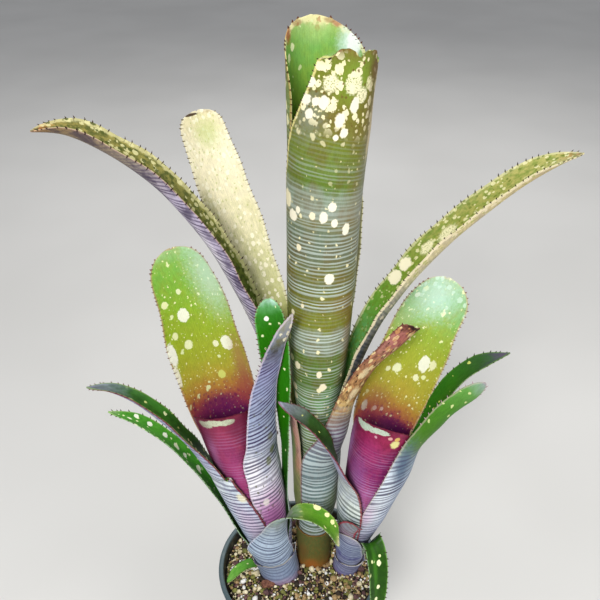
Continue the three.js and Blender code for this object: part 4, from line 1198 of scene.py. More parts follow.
TUBE_OUTER = Side(
    stops=(
        (0, "3c3f20"), (60, "50602e"), (100, "5c7a4c"), (118, "66864f"), (141, "5f8a54"), (152, "5b7c44"),
        (155, "4e6c26"), (178, "586e28"), (181, "7c8a74"), (194, "80886c"), (198, "747c24"), (209, "727824"),
        (212, "727a54"), (217, "6e7026"), (226, "68704c"), (230, "6c6c2c"), (245, "66705a"), (258, "68745c"),
        (263, "757650"),
        (268, "8a9484"), (280, "7c8c74"), (284, "5c7624"), (290, "667c38"), (304, "6c7828"), (312, "787636"),
        (318, "75702c"), (338, "748028"), (346, "6c762a"), (350, "6e642a"), (352, "7a5230"),
    ),
    mottle="6a5224", mottle_amount=0.4, mottle_size=15,
    bands=Bands(
        "b6c2b8", 2.35, 0.4,
        (
            (0, 0.6), (100, 0.85), (151, 0.9), (154, 0.2), (162, 0.3), (164, 0.55), (170, 0.5), (172, 0.15),
            (178, 0.15), (180, 0.85), (195, 0.85), (197, 0.12), (209, 0.14), (211, 0.95), (215, 0.95),
            (216.5, 0.1),
            (219, 0.12), (220.5, 0.9), (226, 0.85), (228, 0.2), (231, 0.25), (233, 0.68), (256, 0.62),
            (260, 0.4),
            (281, 0.34), (283, 0.06), (286, 0.08), (288, 0.32), (294, 0.26), (296, 0.06), (306, 0.14),
            (311, 0),
        ),
        waver=1.6, patchy=0.25,
    ),
    spots=(
        Spots("efe6bd", 5.4, 0.8, 0.42, ((0, 0), (308, 0), (318, 0.95), (342, 1), (348, 0.5), (352, 0)), 1.2,
              1),
        Spots("ece2b2", 3.6, 0.5, 0.32, ((0, 0), (304, 0), (318, 1), (352, 0.9)), 1.2, 8),
        Spots("ebe2b4", 8.0, 0.38, 0.14, ((0, 0), (90, 1), (270, 0.9), (284, 0.35), (302, 0.35), (314, 1)),
              1.2, 5),
        Spots("e4d9a6", 4.0, 0.22, 0.14, ((0, 0), (90, 0.6), (400, 0.7)), 1.1, 15),
        Spots("6a5a26", 3.0, 0.5, 0.22, ((0, 0), (304, 0), (316, 0.9), (350, 0.9)), 1.1, 12),
    ),
    patches=(
        Patch("efe9c0", -4.8, 336, 4.6, 1.1, 0.2, 0.95, 0.75),
        Patch("efe9c0", 1.2, 331, 3.6, 1.1, 0.2, 0.95, 0.7),
        Patch("efe9c0", -16.4, 335, 3.9, 1.1, 0.2, 0.95, 0.7),
        Patch("e9e2b0", 5.5, 337, 2.6, 1.2, 0.2, 0.9, 0.6),
        Patch("f2ead0", -2, 326, 2.4, 1.6), Patch("f2ead0", -18, 325, 2.3, 1.5),
        Patch("f2ead0", -26.2, 334, 2.3),
        Patch("f2ead0", -8.3, 318, 2.5, 1.5), Patch("f2ead0", -4.5, 312, 2.1),
        Patch("f2ead0", -8.1, 309, 1.4),
        Patch("f2ead0", -22, 325, 1.8), Patch("f2ead0", -27, 325, 2.6, 1.1),
        Patch("f2ead0", -24, 318, 2.1, 1.3), Patch("f2ead0", 0.1, 231, 2.7), Patch("f2ead0", -2, 273, 2.2),
        Patch("f2ead0", -6, 267, 2.2, 1.4), Patch("f2ead0", 7.5, 260, 2.3, 1.5),
        Patch("f2ead0", -24.8, 264, 3.4, 0.9),
        Patch("f2ead0", 0.2, 264, 1.9), Patch("f2ead0", -21, 268, 1.6), Patch("ebe0be", -17.5, 169, 2.2),
        Patch("ebe0be", -0.3, 156, 2.3), Patch("ebe0be", -26, 186, 1.9), Patch("f0e6c0", -32, 271, 4.8, 0.9),
        Patch("ebe0be", -12.1, 267, 1.7), Patch("ebe0be", -18.9, 247, 1.7), Patch("ebe0be", -14.7, 212, 1.1),
        Patch("dcc79a", 17.6, 322, 3.4, 7, 0.3, 0.85),
        Patch("ebe0be", -20, 150, 2.4), Patch("ebe0be", -19, 142, 1.9), Patch("ebe0be", -3, 166, 1.6, 1.6),
        Patch("ebe0be", -4, 124, 2.1), Patch("ebe0be", -1, 119, 2.5), Patch("ebe0be", -18, 128, 1.8),
        Patch("ebe0be", -23, 172, 2.1), Patch("ebe0be", -25, 199, 1.9, 1.4), Patch("ebe0be", -22, 205, 1.5),
        Patch("64401f", 11, 343, 6, 0.9, 0.5, 0.75), Patch("6f5a2c", 12, 330, 5, 4.0, 0.7, 0.6),
        Patch("7f9c34", -4, 341, 9, 1.3, 0.9, 0.6, under=True),
        Patch("80887c", -24, 318, 7, 1.6, 0.9, 0.6, under=True),
        # Painted sheen: the grey 8f9290 patch on the next line, long and soft down the tube's right side, is
        # glare, not the leaf's colour.
        Patch("7a4a2a", 17, 190, 5, 5.0, 0.8, 0.5), Patch("8f9290", 21, 290, 8, 4.5, 0.8, 0.3),
        Patch("7c6434", 13, 276, 8, 3.0, 0.8, 0.45, under=True),
        Patch("80602e", 9, 214, 7, 1.0, 0.8, 0.5, under=True),
    ),
    margin="e0d48c", margin_width=2.0, margin_amount=0.8, margin_reach=((0, 0.8), (240, 1.0), (352, 0.8)),
    rough=0.38,
)

PUP_BACK = Side(
    stops=((0, "5d6f4e"), (80, "6d8458"), (150, "6f9440"), (260, "7fa84a")),
    mottle="8aa060", mottle_amount=0.35,
    bands=Bands("b9c6c0", 3.6, 0.42, ((0, 0.8), (120, 0.7), (190, 0.35), (240, 0.1))),
    spots=(Spots("eaf0c0", 8, 0.4, 0.16),), margin="d3b58a", margin_width=1.0, margin_amount=0.6,
)

LOOKS: dict[str, LeafLook] = {
    "mother_front_leaf": LeafLook(
        "tube_green", TUBE_OUTER,
        Side(((0, "2c3a1c"), (200, "4d6f34"), (352, "6d9a48")), "7a8a44", 0.3, margin="e4d98e",
             margin_width=1.4),
        238, "2f1d12", 1.2, 3.2, tipped=False, corner=5.2, dips=((0.46, 2.8),),
    ),
    "mother_back_leaf": LeafLook(
        "inner_teal",
        Side(
            ((0, "4a5a36"), (150, "5f7a4c"), (250, "6f8450"), (330, "74823e"), (350, "a8a860"),
             (359, "cfc890")),
            "6b5a34", 0.4, 16, Bands("b4c4b6", 2.9, 0.5, ((0, 0.6), (250, 0.8), (300, 0.3), (330, 0))),
            (Spots("f2ecba", 8, 0.5, 0.28, ((0, 0), (240, 0.2), (320, 1), (360, 1))),), margin="c9a860",
            margin_width=2,
        ),
        Side(
            ((0, "24381c"), (200, "4a5c24"), (290, "647c28"), (312, "6c8c2c"), (330, "709e3e"),
             (344, "74a850"), (352, "9abc6c"), (359, "d6d69c")),
            "8fa83c", 0.4, 12,
            spots=(Spots("dfe4ac", 6, 0.3, 0.18, ((0, 0), (300, 0), (330, 0.7))),
                   Spots("a8623a", 4.2, 0.4, 0.36, ((0, 0), (350, 0), (355, 0.5), (359, 0.7)), 1.0, 5),
                   Spots("98a458", 2.8, 0.4, 0.3, ((0, 0), (350, 0), (354, 0.5), (359, 0.5)), 1.0, 8)),
            patches=(
                Patch("e6e8ba", 26.4, 334, 2.2), Patch("e6e8ba", 20, 339, 1.9), Patch("e0e4b0", 16, 344, 1.8),
                # Painted highlight: the pale d2e8dc and f0f4ee patches on the next line are glare near the
                # right margin of the tip, not the leaf's colour.
                Patch("d2e8dc", -20, 345, 6.5, 1.4, 0.6, 0.75), Patch("f0f4ee", -22, 346, 4.2, 1.5, 0.3, 0.9),
                Patch("9c4426", 21, 350.5, 3.4, 1.3, 0.5, 0.85),
                Patch("9c4426", -12, 355, 2.6, 0.7, 0.5, 0.7),
                Patch("8a5a2a", 12, 355.5, 3.6, 0.5, 0.4, 0.6),
                Patch("8a5a2a", -8, 356.5, 3.0, 0.5, 0.4, 0.6),
            ),
            margin="e6dda4", margin_width=3.0, margin_amount=0.85,
            margin_reach=((0, 0.4), (326, 0.45), (338, 0.9), (350, 1.8), (359, 1.6)), rough=0.36,
        ),
        238, "5a3322", 1.4, 3.4,
    ),
    "mother_rear_leaf": LeafLook(
        "cream_leaf",
        Side(((0, "5a6a3c"), (160, "9aa066"), (300, "cfcd96")), "8a9050", 0.5, 14,
             Bands("d8d8c6", 3, 0.5, ((0, 0.6), (200, 0.4), (280, 0.1))), margin="efe8bc", margin_width=4,
             margin_amount=0.9),
        Side(((0, "55662f"), (150, "8f9a4e"), (300, "d6d79a")), "7f9440", 0.5, 12, margin="efe8bc",
             margin_width=4.0, margin_amount=0.9),
        190, "a89c6c", 1.0, 3.4,
    ),
    "mother_cream_leaf": LeafLook(
        "cream_leaf",
        Side(((0, "56683a"), (180, "98a066"), (240, "c9c592"), (336, "ddd5a6")), "a09c60", 0.4, 12,
             Bands("e4e0cc", 3.1, 0.45, ((0, 0.7), (200, 0.5), (300, 0.15))), margin="e6dcaf"),
        Side(
            ((0, "5c6f34"), (185, "8a9448"), (205, "b8b878"), (225, "d8d4a4"), (262, "e8dfb8"),
             (318, "efe5c4"), (334, "e6dab0"), (336, "a8906a")),
            "b4b468", 0.4, 8, mottle_reach=((0, 1), (250, 0.9), (300, 0.35)),
            spots=(Spots("f4edd0", 4.0, 0.6, 0.34),
                   Spots("b9bc74", 3.0, 0.5, 0.2, ((0, 0.8), (290, 0.6)), 1.3, 4)),
            patches=(Patch("6c6c2c", 16, 238, 5.5, 4.5, 0.6, 0.85), Patch("8a8c44", 13, 275, 4, 3, 0.7, 0.5),
                     Patch("a9bc58", -2, 322, 7, 1.2, 0.8, 0.5),
                     Patch("3c2418", 4.5, 334.6, 4.2, 0.2, 0.25, 0.95)),
            margin="f0e8c8", margin_width=1.8, margin_amount=0.6, rough=0.42,
        ),
        160, "7a6c48", 1.2, 3.4,
    ),
    "mother_left_arching_leaf": LeafLook(
        "arching_leaf",
        Side(
            ((0, "9c5a28"), (46, "a8683a"), (66, "76824c"), (92, "8a8a58"), (104, "b08468"), (140, "bb8a7c"),
             (160, "9a8a98"), (200, "aca2b8"), (300, "b6acc0"), (330, "8c8072"), (365, "8e7650"),
             (380, "a8783c")),
            # The dark purple mottle that spreads towards the tip on this underside is partly its own colour
            # and partly painted shade.
            "352c42", 0.75, 11, mottle_reach=((0, 0.2), (180, 0.6), (230, 1)),
            bands=Bands("3f3050", 3.1, 0.45, ((0, 0.15), (150, 0.3), (200, 0.8), (300, 0.8), (350, 0.2),
                                              (380, 0)), 0.8),
            patches=(Patch("5f8a3c", 4, 118, 4.5, 4.0, 0.5, 0.8, under=True),
                     Patch("6f7c3a", 2, 80, 6, 1.6, 0.6, 0.7),
                     # Painted highlight: the two pale ece6ee streaks on this and the next line are light on
                     # the underside, not its colour.
                     Patch("ece6ee", 9, 262, 3, 6, 0.6, 0.6, under=True),
                     Patch("ece6ee", 8, 222, 3, 4, 0.6, 0.5, under=True)),
            margin="c09a8c", margin_width=1.8, margin_amount=0.6,
            margin_reach=((0, 1.3), (150, 1.3), (190, 0.6), (240, 0.3), (380, 0.2)),
        ),
        Side(
            ((0, "3a5224"), (180, "55742a"), (225, "6c7c30"), (260, "767a36"), (300, "84803e"),
             (340, "8c8444"), (366, "8e8244"), (374, "b0743a"), (378, "b8642c"), (380, "6a3018")),
            "3c4a1c", 0.75, 4,
            spots=(Spots("d8d29a", 3.0, 0.7, 0.38, ((0, 0.3), (200, 0.7)), 1.5, 2),
                   Spots("4c5420", 3.0, 0.5, 0.34, ((0, 0.9),), 1.4, 4)),
            patches=(Patch("3f4a1c", 0, 300, 4.2, 14, 0.8, 0.7), Patch("2f4016", -1, 200, 4, 9, 0.8, 0.6)),
            margin="d6cf98", margin_width=2.6, margin_amount=0.6, rough=0.42,
        ),
        150, "3a2a1c", 1.5, 3.8,
    ),
    "mother_right_arching_leaf": LeafLook(
        "arching_leaf",
        Side(
            ((0, "a8622c"), (30, "b06c34"), (52, "7a8250"), (80, "6f8f60"), (120, "6f8a6c"), (150, "5f6668"),
             (190, "50565c"), (225, "8a8c78"), (250, "c9be92"), (300, "cfbf88"), (358, "c8b478")),
            "84788a", 0.3, 8,
            bands=Bands("2f3a40", 3.0, 0.42, ((0, 0.1), (50, 0.5), (190, 0.7), (225, 0.4), (250, 0.1)), 0.4),
            spots=(Spots("e9dcb8", 4, 0.5, 0.34, ((0, 0), (150, 0.2), (240, 0.6), (360, 0.7))),
                   Spots("9aa04c", 3, 0.5, 0.3, ((0, 0), (225, 0.2), (250, 0.7)), 1.6, 9)),
            margin="e6d8b4", margin_width=2.0, margin_amount=0.85,
        ),
        Side(
            ((0, "3c5c2a"), (150, "4f8a44"), (200, "5c9450"), (214, "5f9230"), (245, "7c8f34"),
             (285, "98984c"), (320, "a8a45a"), (345, "b0ac64"), (354, "a88c4c"), (358, "8a5a30")),
            "5c7f22", 0.6, 4,
            spots=(Spots("ddd8a4", 3.0, 0.66, 0.34, ((0, 0.1), (205, 0.2), (235, 0.75), (358, 0.85)), 1.3, 2),
                   Spots("667424", 2.6, 0.5, 0.3, ((0, 0), (220, 0.6), (300, 0.8)), 1.4, 4)),
            patches=(Patch("c6bc84", -11, 300, 9, 9, 0.7, 0.7, under=True),
                     Patch("c6be8a", -10, 252, 6, 4, 0.7, 0.5, under=True), Patch("ece4c4", 11.5, 236, 4),
                     Patch("ece4c4", 12, 246, 3.6), Patch("e9e2b8", 8.7, 262, 3, 1.6, 0.3, 0.9, 0.5),
                     Patch("e9e2b8", 6, 276, 3.4, 1.8, 0.4, 0.9, 0.6)),
            margin="d6d2a4", margin_width=1.6, margin_amount=0.6, rough=0.4,
        ),
        150, "2f2418", 1.5, 3.8,
    ),
    "mother_cut_leaf": LeafLook(
        "cut_leaf",
        silver(
            ((0, "5a6030"), (36, "5f6a50"), (60, "637c74"), (110, "6c7c80"), (135, "7f748a"), (150, "94806e"),
             (158, "c4a468"), (172, "b88c58"), (192, "a8765a"), (210, "ac746a"), (220, "a0645a"),
             (226, "6a3c34")),
            "bfcccc", spacing=3.1, width=0.46, strength=((0, 0.4), (50, 0.8), (135, 0.75), (152, 0.3),
                                                         (162, 0)),
            mottle="5c3624", mottle_amount=0.75, mottle_size=4.2,
            mottle_reach=((0, 0.3), (145, 0.3), (160, 1)),
            spots=(Spots("d9c08a", 3.6, 0.6, 0.42, ((0, 0), (150, 0), (160, 1)), 1.7),
                   Spots("c08a58", 3.0, 0.6, 0.42, ((0, 0), (150, 0), (160, 0.8)), 1.4, 6),
                   Spots("2c1a14", 2.6, 0.4, 0.24, ((0, 0), (150, 0), (160, 0.9)), 2.2, 9)),
            patches=(Patch("56602e", 14, 70, 12, 1.4, 0.5, 0.7),
                     Patch("d9c49a", -3, 184, 2.6, 1.6, 0.4, 0.9, 0.5),
                     Patch("dfc9a0", -1, 168, 2.8, 1.8, 0.4, 0.9, 0.5),
                     Patch("b0605c", 0, 213, 6, 0.9, 0.6, 0.5), Patch("2c1814", 2, 226, 9, 0.22, 0.3, 0.95)),
            margin="6a3c34", margin_width=1.4, margin_amount=0.6, rough=0.55,
        ),
        Side(((0, "4a5a2c"), (130, "6f7a50"), (160, "8a6a44"), (221, "7a4a34")), "4f3020", 0.5, 8,
             margin="8f5a50"),
        132, "5a2a20", 1.2,
    ),
    "mother_base_sheath": LeafLook(
        "base_sheath",
        Side(
            ((0, "94602c"), (10, "8c5f2b"), (15, "70602c"), (22, "5e6030"), (42, "525c30")), "7c5a2a", 0.35,
            3, patches=(Patch("9c5a26", -2, 13, 4.5, 1, 0.6, 0.7), Patch("7a5228", -9, 24, 4, 1.6, 0.6, 0.5)),
            margin="8a5a30", rough=0.5,
        ),
        Side(((0, "5a4a26"), (42, "4c4a24")), margin="6a4a26"),
        999,
    ),
    "left_back_leaf": LeafLook(
        "pup_leaf", PUP_BACK,
        Side(
            ((0, "2a0f20"), (120, "3c1030"), (136, "601a4c"), (141, "86304e"), (147, "9c4c42"),
             (155, "b2803a"),
             (165, "b4a23a"), (176, "aaae34"), (192, "9cb02c"), (215, "8cb22e"), (232, "80b23c"),
             (246, "80b84c"), (255, "9cc480")),
            "a0a83a", 0.35, 9, mottle_reach=((0, 0), (156, 0), (172, 1)),
            spots=(Spots("eef0b4", 4.6, 0.6, 0.12, ((0, 0), (140, 0.25), (160, 1))),
                   Spots("dfe69c", 3.0, 0.5, 0.12, ((0, 0), (140, 0.2), (158, 0.9)), 1.1, 4),
                   Spots("e6eeb0", 10, 0.45, 0.15, ((0, 0), (140, 0.3), (160, 1)), 1.2, 9),
                   Spots("6a1a4c", 3.2, 0.6, 0.34, ((0, 0), (138, 0), (145, 0.7), (158, 0.2), (164, 0)), 1.2,
                         14),
                   Spots("b4503c", 3.0, 0.5, 0.3, ((0, 0), (134, 0), (141, 0.6), (150, 0)), 1.2, 17)),
            patches=(
                Patch("f6f6dc", 9.2, 210, 3.7, 1.35, 0.08), Patch("f6f6dc", -14.5, 185, 4.3, 1.3, 0.08),
                Patch("eef0bc", 11.5, 189, 2.7), Patch("eaecb0", 18.4, 198, 2.1),
                Patch("eaecb0", 18.7, 222, 2.3),
                Patch("e6ecb8", 7, 227, 1.6), Patch("f0f0c4", -6.4, 185, 2.0),
                Patch("d6da70", -4.4, 162, 2.6),
                Patch("f4f2e0", 24.5, 187, 3.2, 2.6, 0.15), Patch("f2ecd2", 26, 172, 2.4, 3.2, 0.2),
                # Painted highlight: the pale blue-white cfe6d6 patch on the next line is glare near the tip's
                # right margin, not the leaf's colour.
                Patch("cfe6d6", -17, 234, 11, 2.0, 0.9, 0.6), Patch("a86a54", -22, 170, 6, 3.4, 0.8, 0.6),
                Patch("9c4444", -20, 152, 7, 1.8, 0.8, 0.6), Patch("5a1650", 2, 142, 12, 0.5, 0.5, 0.6),
            ),
            margin="c08c74", margin_width=0.9, margin_amount=0.6, rough=0.32,
        ),
        150, "8a6a5c", 1.2, 3.6, 0.12,
    ),
    "left_cup_leaf": LeafLook(
        "cup_magenta",
        Side(
            ((0, "7a5a8a"), (70, "9c6a98"), (84, "a04c8a"), (98, "86346a"), (122, "72264c"), (145, "6c1f3e"),
             (155, "641a34"), (158.4, "34081a")),
            "8a3046", 0.6, 7, bands=Bands("b48cb4", 2.3, 0.42,
                                          ((0, 0.9), (84, 0.6), (98, 0.34), (140, 0.22), (152, 0)),
                                          patchy=0.8),
            patches=(
                Patch("a4709c", -11, 128, 3.2, 6, 0.9, 0.6, under=True),
                Patch("943248", 0, 147, 14, 0.6, 0.9, 0.5, under=True),
                Patch("a84a80", 0, 106, 8, 1.6, 0.9, 0.5, under=True),
                # Painted highlight: the pale c4d2b0 crescent patches on the next three lines are the light in
                # the cup's mouth, laid on the top of the outer face.
                Patch("c4d2b0", -9, 152.4, 5.5, 0.5, 0.12, 0.95, 0.3),
                Patch("c4d2b0", -2, 154.4, 5.5, 0.5, 0.12, 0.95, 0.3),
                Patch("c4d2b0", 5.5, 153.6, 5.5, 0.42, 0.12, 0.95, 0.3),
                Patch("b0427a", -2, 118, 9, 3, 0.9, 0.35),
                Patch("5c1838", -14, 146, 8, 1.2, 0.7, 0.6), Patch("5c1838", 13, 147, 8, 1.0, 0.7, 0.6),
            ),
            margin="5c1024", margin_width=1.3, margin_amount=0.85, rough=0.36,
        ),
        Side(((0, "2a0f20"), (100, "3a1230"), (158, "4a1836")), "2a0a20", 0.4, margin="5a1028"),
        60, "5a1424", 1.2, 3.8,
    ),
    "left_silver_leaf": LeafLook(
        "silver_sheath",
        silver(
            ((0, "8f84a4"), (40, "b48cc0"), (62, "d2a0cc"), (80, "e2d4e4"), (100, "e4e0ea"), (122, "c2c8d4"),
             (150, "98a2b8"), (188, "8a8cac"), (198, "5c5a68"), (204, "3c3a34"), (210, "5c5c44"),
             (218, "7c7858"), (231, "968e6c")),
            "32244c", spacing=2.9, width=0.46, strength=((0, 0.85), (60, 0.8), (110, 0.8), (130, 0.95),
                                                         (188, 0.9), (200, 0.4), (207, 0)),
            tilt=-1.0, tilt_from=(120, 175), mottle="8e9ab8", mottle_amount=0.45, patchy=0.35,
            mottle_reach=((0, 0.6), (80, 0.4), (110, 1)),
            spots=(Spots("d9d2b4", 3.4, 0.6, 0.36, ((0, 0), (204, 0), (212, 0.9)), 1.5, 3),
                   Spots("55562c", 4, 0.3, 0.2, ((0, 0), (96, 0.7), (150, 0.5), (180, 0)), 1.4, 6)),
            patches=(Patch("c060a8", -4, 72, 12, 1.4, 0.9, 0.6, under=True),
                     Patch("b0509c", -2, 66, 9, 1.1, 0.9, 0.35),
                     Patch("66703c", 7, 121, 2.6, 1.5, 0.3, 0.8),
                     Patch("66703c", 2.5, 114, 2.4, 1.4, 0.3, 0.7),
                     Patch("5c5f34", 5, 136, 2.2, 1.6, 0.4, 0.6),
                     Patch("e6ded4", -6, 84, 2.2, 1.3, 0.3, 0.75),
                     Patch("f4f0f2", -10, 108, 6, 2.6, 0.7, 0.7, under=True)),
            margin="d9cdd6", margin_width=1.3, margin_amount=0.45,
        ),
        Side(((0, "2c3a24"), (150, "3a5a34"), (231, "7a8a66")), "2f4a2a", 0.4, margin="b9a0a0"),
        60, "4a1a28", 1.4, 3.6,
    ),
    "left_arching_leaf": LeafLook(
        "dark_green",
        silver(
            ((0, "8f93ac"), (50, "a8b6ca"), (80, "bccfdc"), (104, "d2dadc"), (130, "a5a9bf"),
             (214, "8f8aa8")),
            "443c60", spacing=3.1, width=0.4, strength=((0, 0.8), (110, 0.8), (150, 0.5), (214, 0.2)),
            sag=0.6,
            patches=(Patch("e0dab8", 25, 90, 2.6, 1.4, 0.4, 0.8),
                     Patch("eceae4", 27.5, 107, 3.0, 1.2, 0.4, 0.85),
                     Patch("dcb8d0", 18, 66, 8, 2.4, 0.9, 0.55, under=True)),
            margin="74182a", margin_width=1.5, margin_amount=0.9,
        ),
        Side(
            ((0, "24401e"), (110, "28501a"), (135, "34681c"), (165, "387422"), (186, "386628"),
             (200, "6a7a78"), (214, "8f8ca6")),
            "1a3a12", 0.5, 8,
            spots=(Spots("d6de8a", 6.5, 0.3, 0.15, ((0, 0), (110, 0.5), (180, 1), (196, 0))),
                   Spots("e6ecb4", 4.2, 0.34, 0.24, ((0, 0), (105, 0.5), (130, 1), (184, 1), (192, 0)), 1.6,
                         11)),
            margin="7f9a50", margin_width=0.9, rough=0.36,
        ),
        50, "5a2a24", 1.3, 3.8,
    ),
    "left_spotted_leaf": LeafLook(
        "spotted_green",
        silver(((0, "7a8a90"), (60, "7f9a84"), (110, "5f8f4a"), (186, "6a9a50")), "4a6a50",
               strength=((0, 0.8), (100, 0.3), (140, 0)), mottle="6a8a50"),
        Side(
            ((0, "2c5a24"), (80, "387a1e"), (110, "459428"), (150, "56a634"), (178, "4f9630"),
             (186, "a0b080")),
            "2f7816", 0.45, 8,
            spots=(Spots("f2f4d0", 7.0, 0.55, 0.2, ((0, 0), (85, 0.6), (100, 1)), 1.6),
                   Spots("eef4bc", 3.4, 0.5, 0.26, ((0, 0), (105, 0.3), (130, 1), (186, 1)), 1.5, 7)),
            patches=(Patch("fafce6", -3.4, 158, 1.6), Patch("fafce6", -4, 168, 1.4),
                     Patch("fafce6", -3.1, 145, 1.7),
                     Patch("f4f6da", -1, 125, 1.6), Patch("f4f6da", -2, 110, 2.0)),
            margin="8fb860", margin_width=0.8, rough=0.36,
        ),
        60, "3a3020", 1.4, 4.4,
    ),
    "left_side_leaf": LeafLook(
        "spotted_green",
        silver(((0, "9a8fb0"), (60, "a8aac0"), (110, "6a8f50"), (234, "5f9a40")), "5d4672", spacing=3.2,
               strength=((0, 0.9), (60, 0.8), (110, 0.2), (140, 0)), tilt=0.5, mottle="6a8a50"),
        Side(
            ((0, "24401e"), (100, "205808"), (150, "267008"), (212, "2a760c"), (224, "38802a"),
             (230, "5c9c5c"), (234, "b0d4c0")),
            "256c0c", 0.4, 10, spots=(Spots("e4f0b4", 6.0, 0.5, 0.14),),
            patches=(Patch("fafce8", 2.4, 221, 1.4), Patch("f0f4c0", 0.6, 204, 0.9)),
            margin="7fb870", margin_width=0.8, rough=0.34,
        ),
        100, "6a4a3a", 1.0, 3.6, 0.0, 0.04,
    ),
    "left_scale_leaf": LeafLook(
        "spotted_green",
        silver(((0, "7a829a"), (24, "94a2bc"), (42, "b4c6d8"), (58, "a4b4c4"), (75, "8e9690"), (90, "5f8440"),
                (135, "6f9040")),
               "4a5270", spacing=3.6, width=0.42, strength=((0, 0.8), (62, 0.85), (82, 0.1), (100, 0)),
               sag=-1.6, mottle="b8c8d8", mottle_amount=0.5),
        Side(
            ((0, "5a6a60"), (70, "8a9a8c"), (86, "84967a"), (94, "6a9034"), (108, "528a14"), (124, "649428"),
             (130, "b4bc74"), (135, "ece0c0")),
            "3f7a10", 0.5, 7,
            spots=(Spots("f0eea0", 5.0, 0.6, 0.22, ((0, 0), (92, 0.1), (100, 1), (130, 1)), 1.8, 2),),
            patches=(Patch("f2efa8", 6, 103, 1.6), Patch("f2efa8", 5, 110, 1.4),
                     Patch("f2efa8", 4, 116, 1.5)),
            margin="8fae50", margin_width=0.9, rough=0.38,
        ),
        84, "4a3a24", 1.2, 4.2,
    ),
    "left_base_ring": LeafLook(
        "silver_sheath",
        silver(((0, "a07088"), (7, "9a86a0"), (12, "8492ac"), (26.3, "94a4bc")), "48506c", spacing=3.4,
               strength=((0, 0.25), (26, 0.7)), sag=-1.6, margin="9a96ac"),
        Side(((0, "5a5068"), (26, "6a6880")), "5a5068", 0.3), 999,
    ),
    "left_soil_leaf": LeafLook(
        "spotted_green",
        Side(((0, "4f8a2c"), (24, "6aa040")), "3f7a24", 0.4, 6),
        Side(((0, "4a8a28"), (12, "66a838"), (24.3, "7cae50")), "3f8020", 0.4, 5,
             spots=(Spots("e4ecaa", 4, 0.3, 0.14),), margin="3c6a20", margin_width=0.8),
        8, "3a3a1c", 0.6, 5.0,
    ),
    "right_back_leaf": LeafLook(
        "pup_leaf", PUP_BACK,
        Side(
            ((0, "2a0f20"), (92, "3f1034"), (103, "5c1848"), (109, "84304c"), (114, "9c4c44"),
             (121, "b4843c"),
             (130, "b8a23c"), (142, "b0aa3a"), (160, "a6b238"), (176, "96b23e"), (188, "88b454"),
             (200, "90c080"), (215, "a4cc9c")),
            "a4a63c", 0.35, 9, mottle_reach=((0, 0), (120, 0), (134, 1)),
            spots=(Spots("eeeeb2", 4.6, 0.6, 0.15, ((0, 0.15), (110, 0.5), (130, 1))),
                   Spots("dfe49c", 3.0, 0.5, 0.12, ((0, 0), (116, 0.2), (130, 0.9)), 1.1, 4),
                   Spots("ecf0b0", 9, 0.45, 0.18, ((0, 0), (120, 0.3), (140, 1)), 1.2, 9),
                   Spots("6a1a4c", 3.2, 0.6, 0.34, ((0, 0), (104, 0), (110, 0.7), (122, 0.2), (128, 0)), 1.2,
                         14),
                   Spots("b4503c", 3.0, 0.5, 0.3, ((0, 0), (100, 0), (107, 0.6), (116, 0)), 1.2, 17),
                   Spots("dcf0dc", 4.5, 0.6, 0.36, ((0, 0), (186, 0), (196, 0.55), (215, 0.6)), 1.2, 21)),
            patches=(
                Patch("f6f6dc", -11, 156, 3.5, 1.7, 0.08), Patch("f0f2c0", 4.7, 147, 2.9, 1.2, 0.15),
                Patch("f0f0c0", -9.2, 145, 1.9), Patch("ecedb4", 10.4, 145, 1.7),
                Patch("ecebb8", -16.6, 158, 2.2, 1.6),
                Patch("f0f2d8", 14.2, 199, 2.0), Patch("d0ccb8", 18, 118, 2.2, 1.6, 0.2, 0.8),
                Patch("d9c0ac", 9.7, 116, 1.4), Patch("d2b8a6", 4.8, 116, 1.2),
                # Painted highlight: the pale teal cdeadf patch on the next line and the a9cdb0 patch below it
                # are glare on the tip and its left side, not the leaf's colour.
                Patch("cdeadf", 1, 201, 11, 1.2, 0.9, 0.65),
                Patch("a9cdb0", 13, 190, 9, 1.8, 0.9, 0.4), Patch("8a3a48", 10, 120, 8, 1.4, 0.8, 0.5),
                Patch("561450", -4, 105, 12, 0.5, 0.5, 0.6),
            ),
            margin="cfb088", margin_width=1.0, margin_amount=0.6, rough=0.32,
        ),
        118, "8a6a5c", 1.2, 3.6, 0.12,
    ),
    "right_cup_leaf": LeafLook(
        "cup_magenta",
        Side(
            ((0, "8a6a94"), (60, "a87aa4"), (76, "b0609a"), (88, "88266a"), (115, "721a4e"), (128, "6c183e"),
             (136, "641636"), (140.5, "34081a")),
            "a0305e", 0.5, 7, bands=Bands("c8a0cc", 2.3, 0.42,
                                          ((0, 0.9), (74, 0.8), (86, 0.38), (108, 0.22), (126, 0.0)),
                                          patchy=0.8),
            patches=(
                Patch("b07cb4", -25, 106, 4.5, 3.5, 0.9, 0.75, under=True),
                Patch("a464a4", -11, 92, 6, 2.4, 0.9, 0.6, under=True),
                Patch("a02448", 0, 131, 12, 0.7, 0.9, 0.5, under=True),
                # Painted highlight: the pale c4d6c0 crescent patches on the next three lines are the light in
                # the cup's mouth, laid on the top of the outer face.
                Patch("c4d6c0", -15, 133.4, 5, 0.6, 0.12, 0.95, 0.3),
                Patch("c4d6c0", -9, 135.6, 5.5, 0.5, 0.12, 0.95, 0.3),
                Patch("c4d6c0", -2.5, 136.9, 5.5, 0.45, 0.12, 0.95, 0.3),
                Patch("b83a7c", -6, 118, 6, 1.6, 0.9, 0.4), Patch("d8d28a", 8.1, 128, 2.6, 1.2, 0.25),
                     Patch("d2b060", 8.6, 132.5, 1.6), Patch("d89a9a", 4.3, 133, 1.3),
                Patch("d09aa8", -4.3, 131, 0.9)),
            margin="741a34", margin_width=1.5, margin_amount=0.8, rough=0.38,
        ),
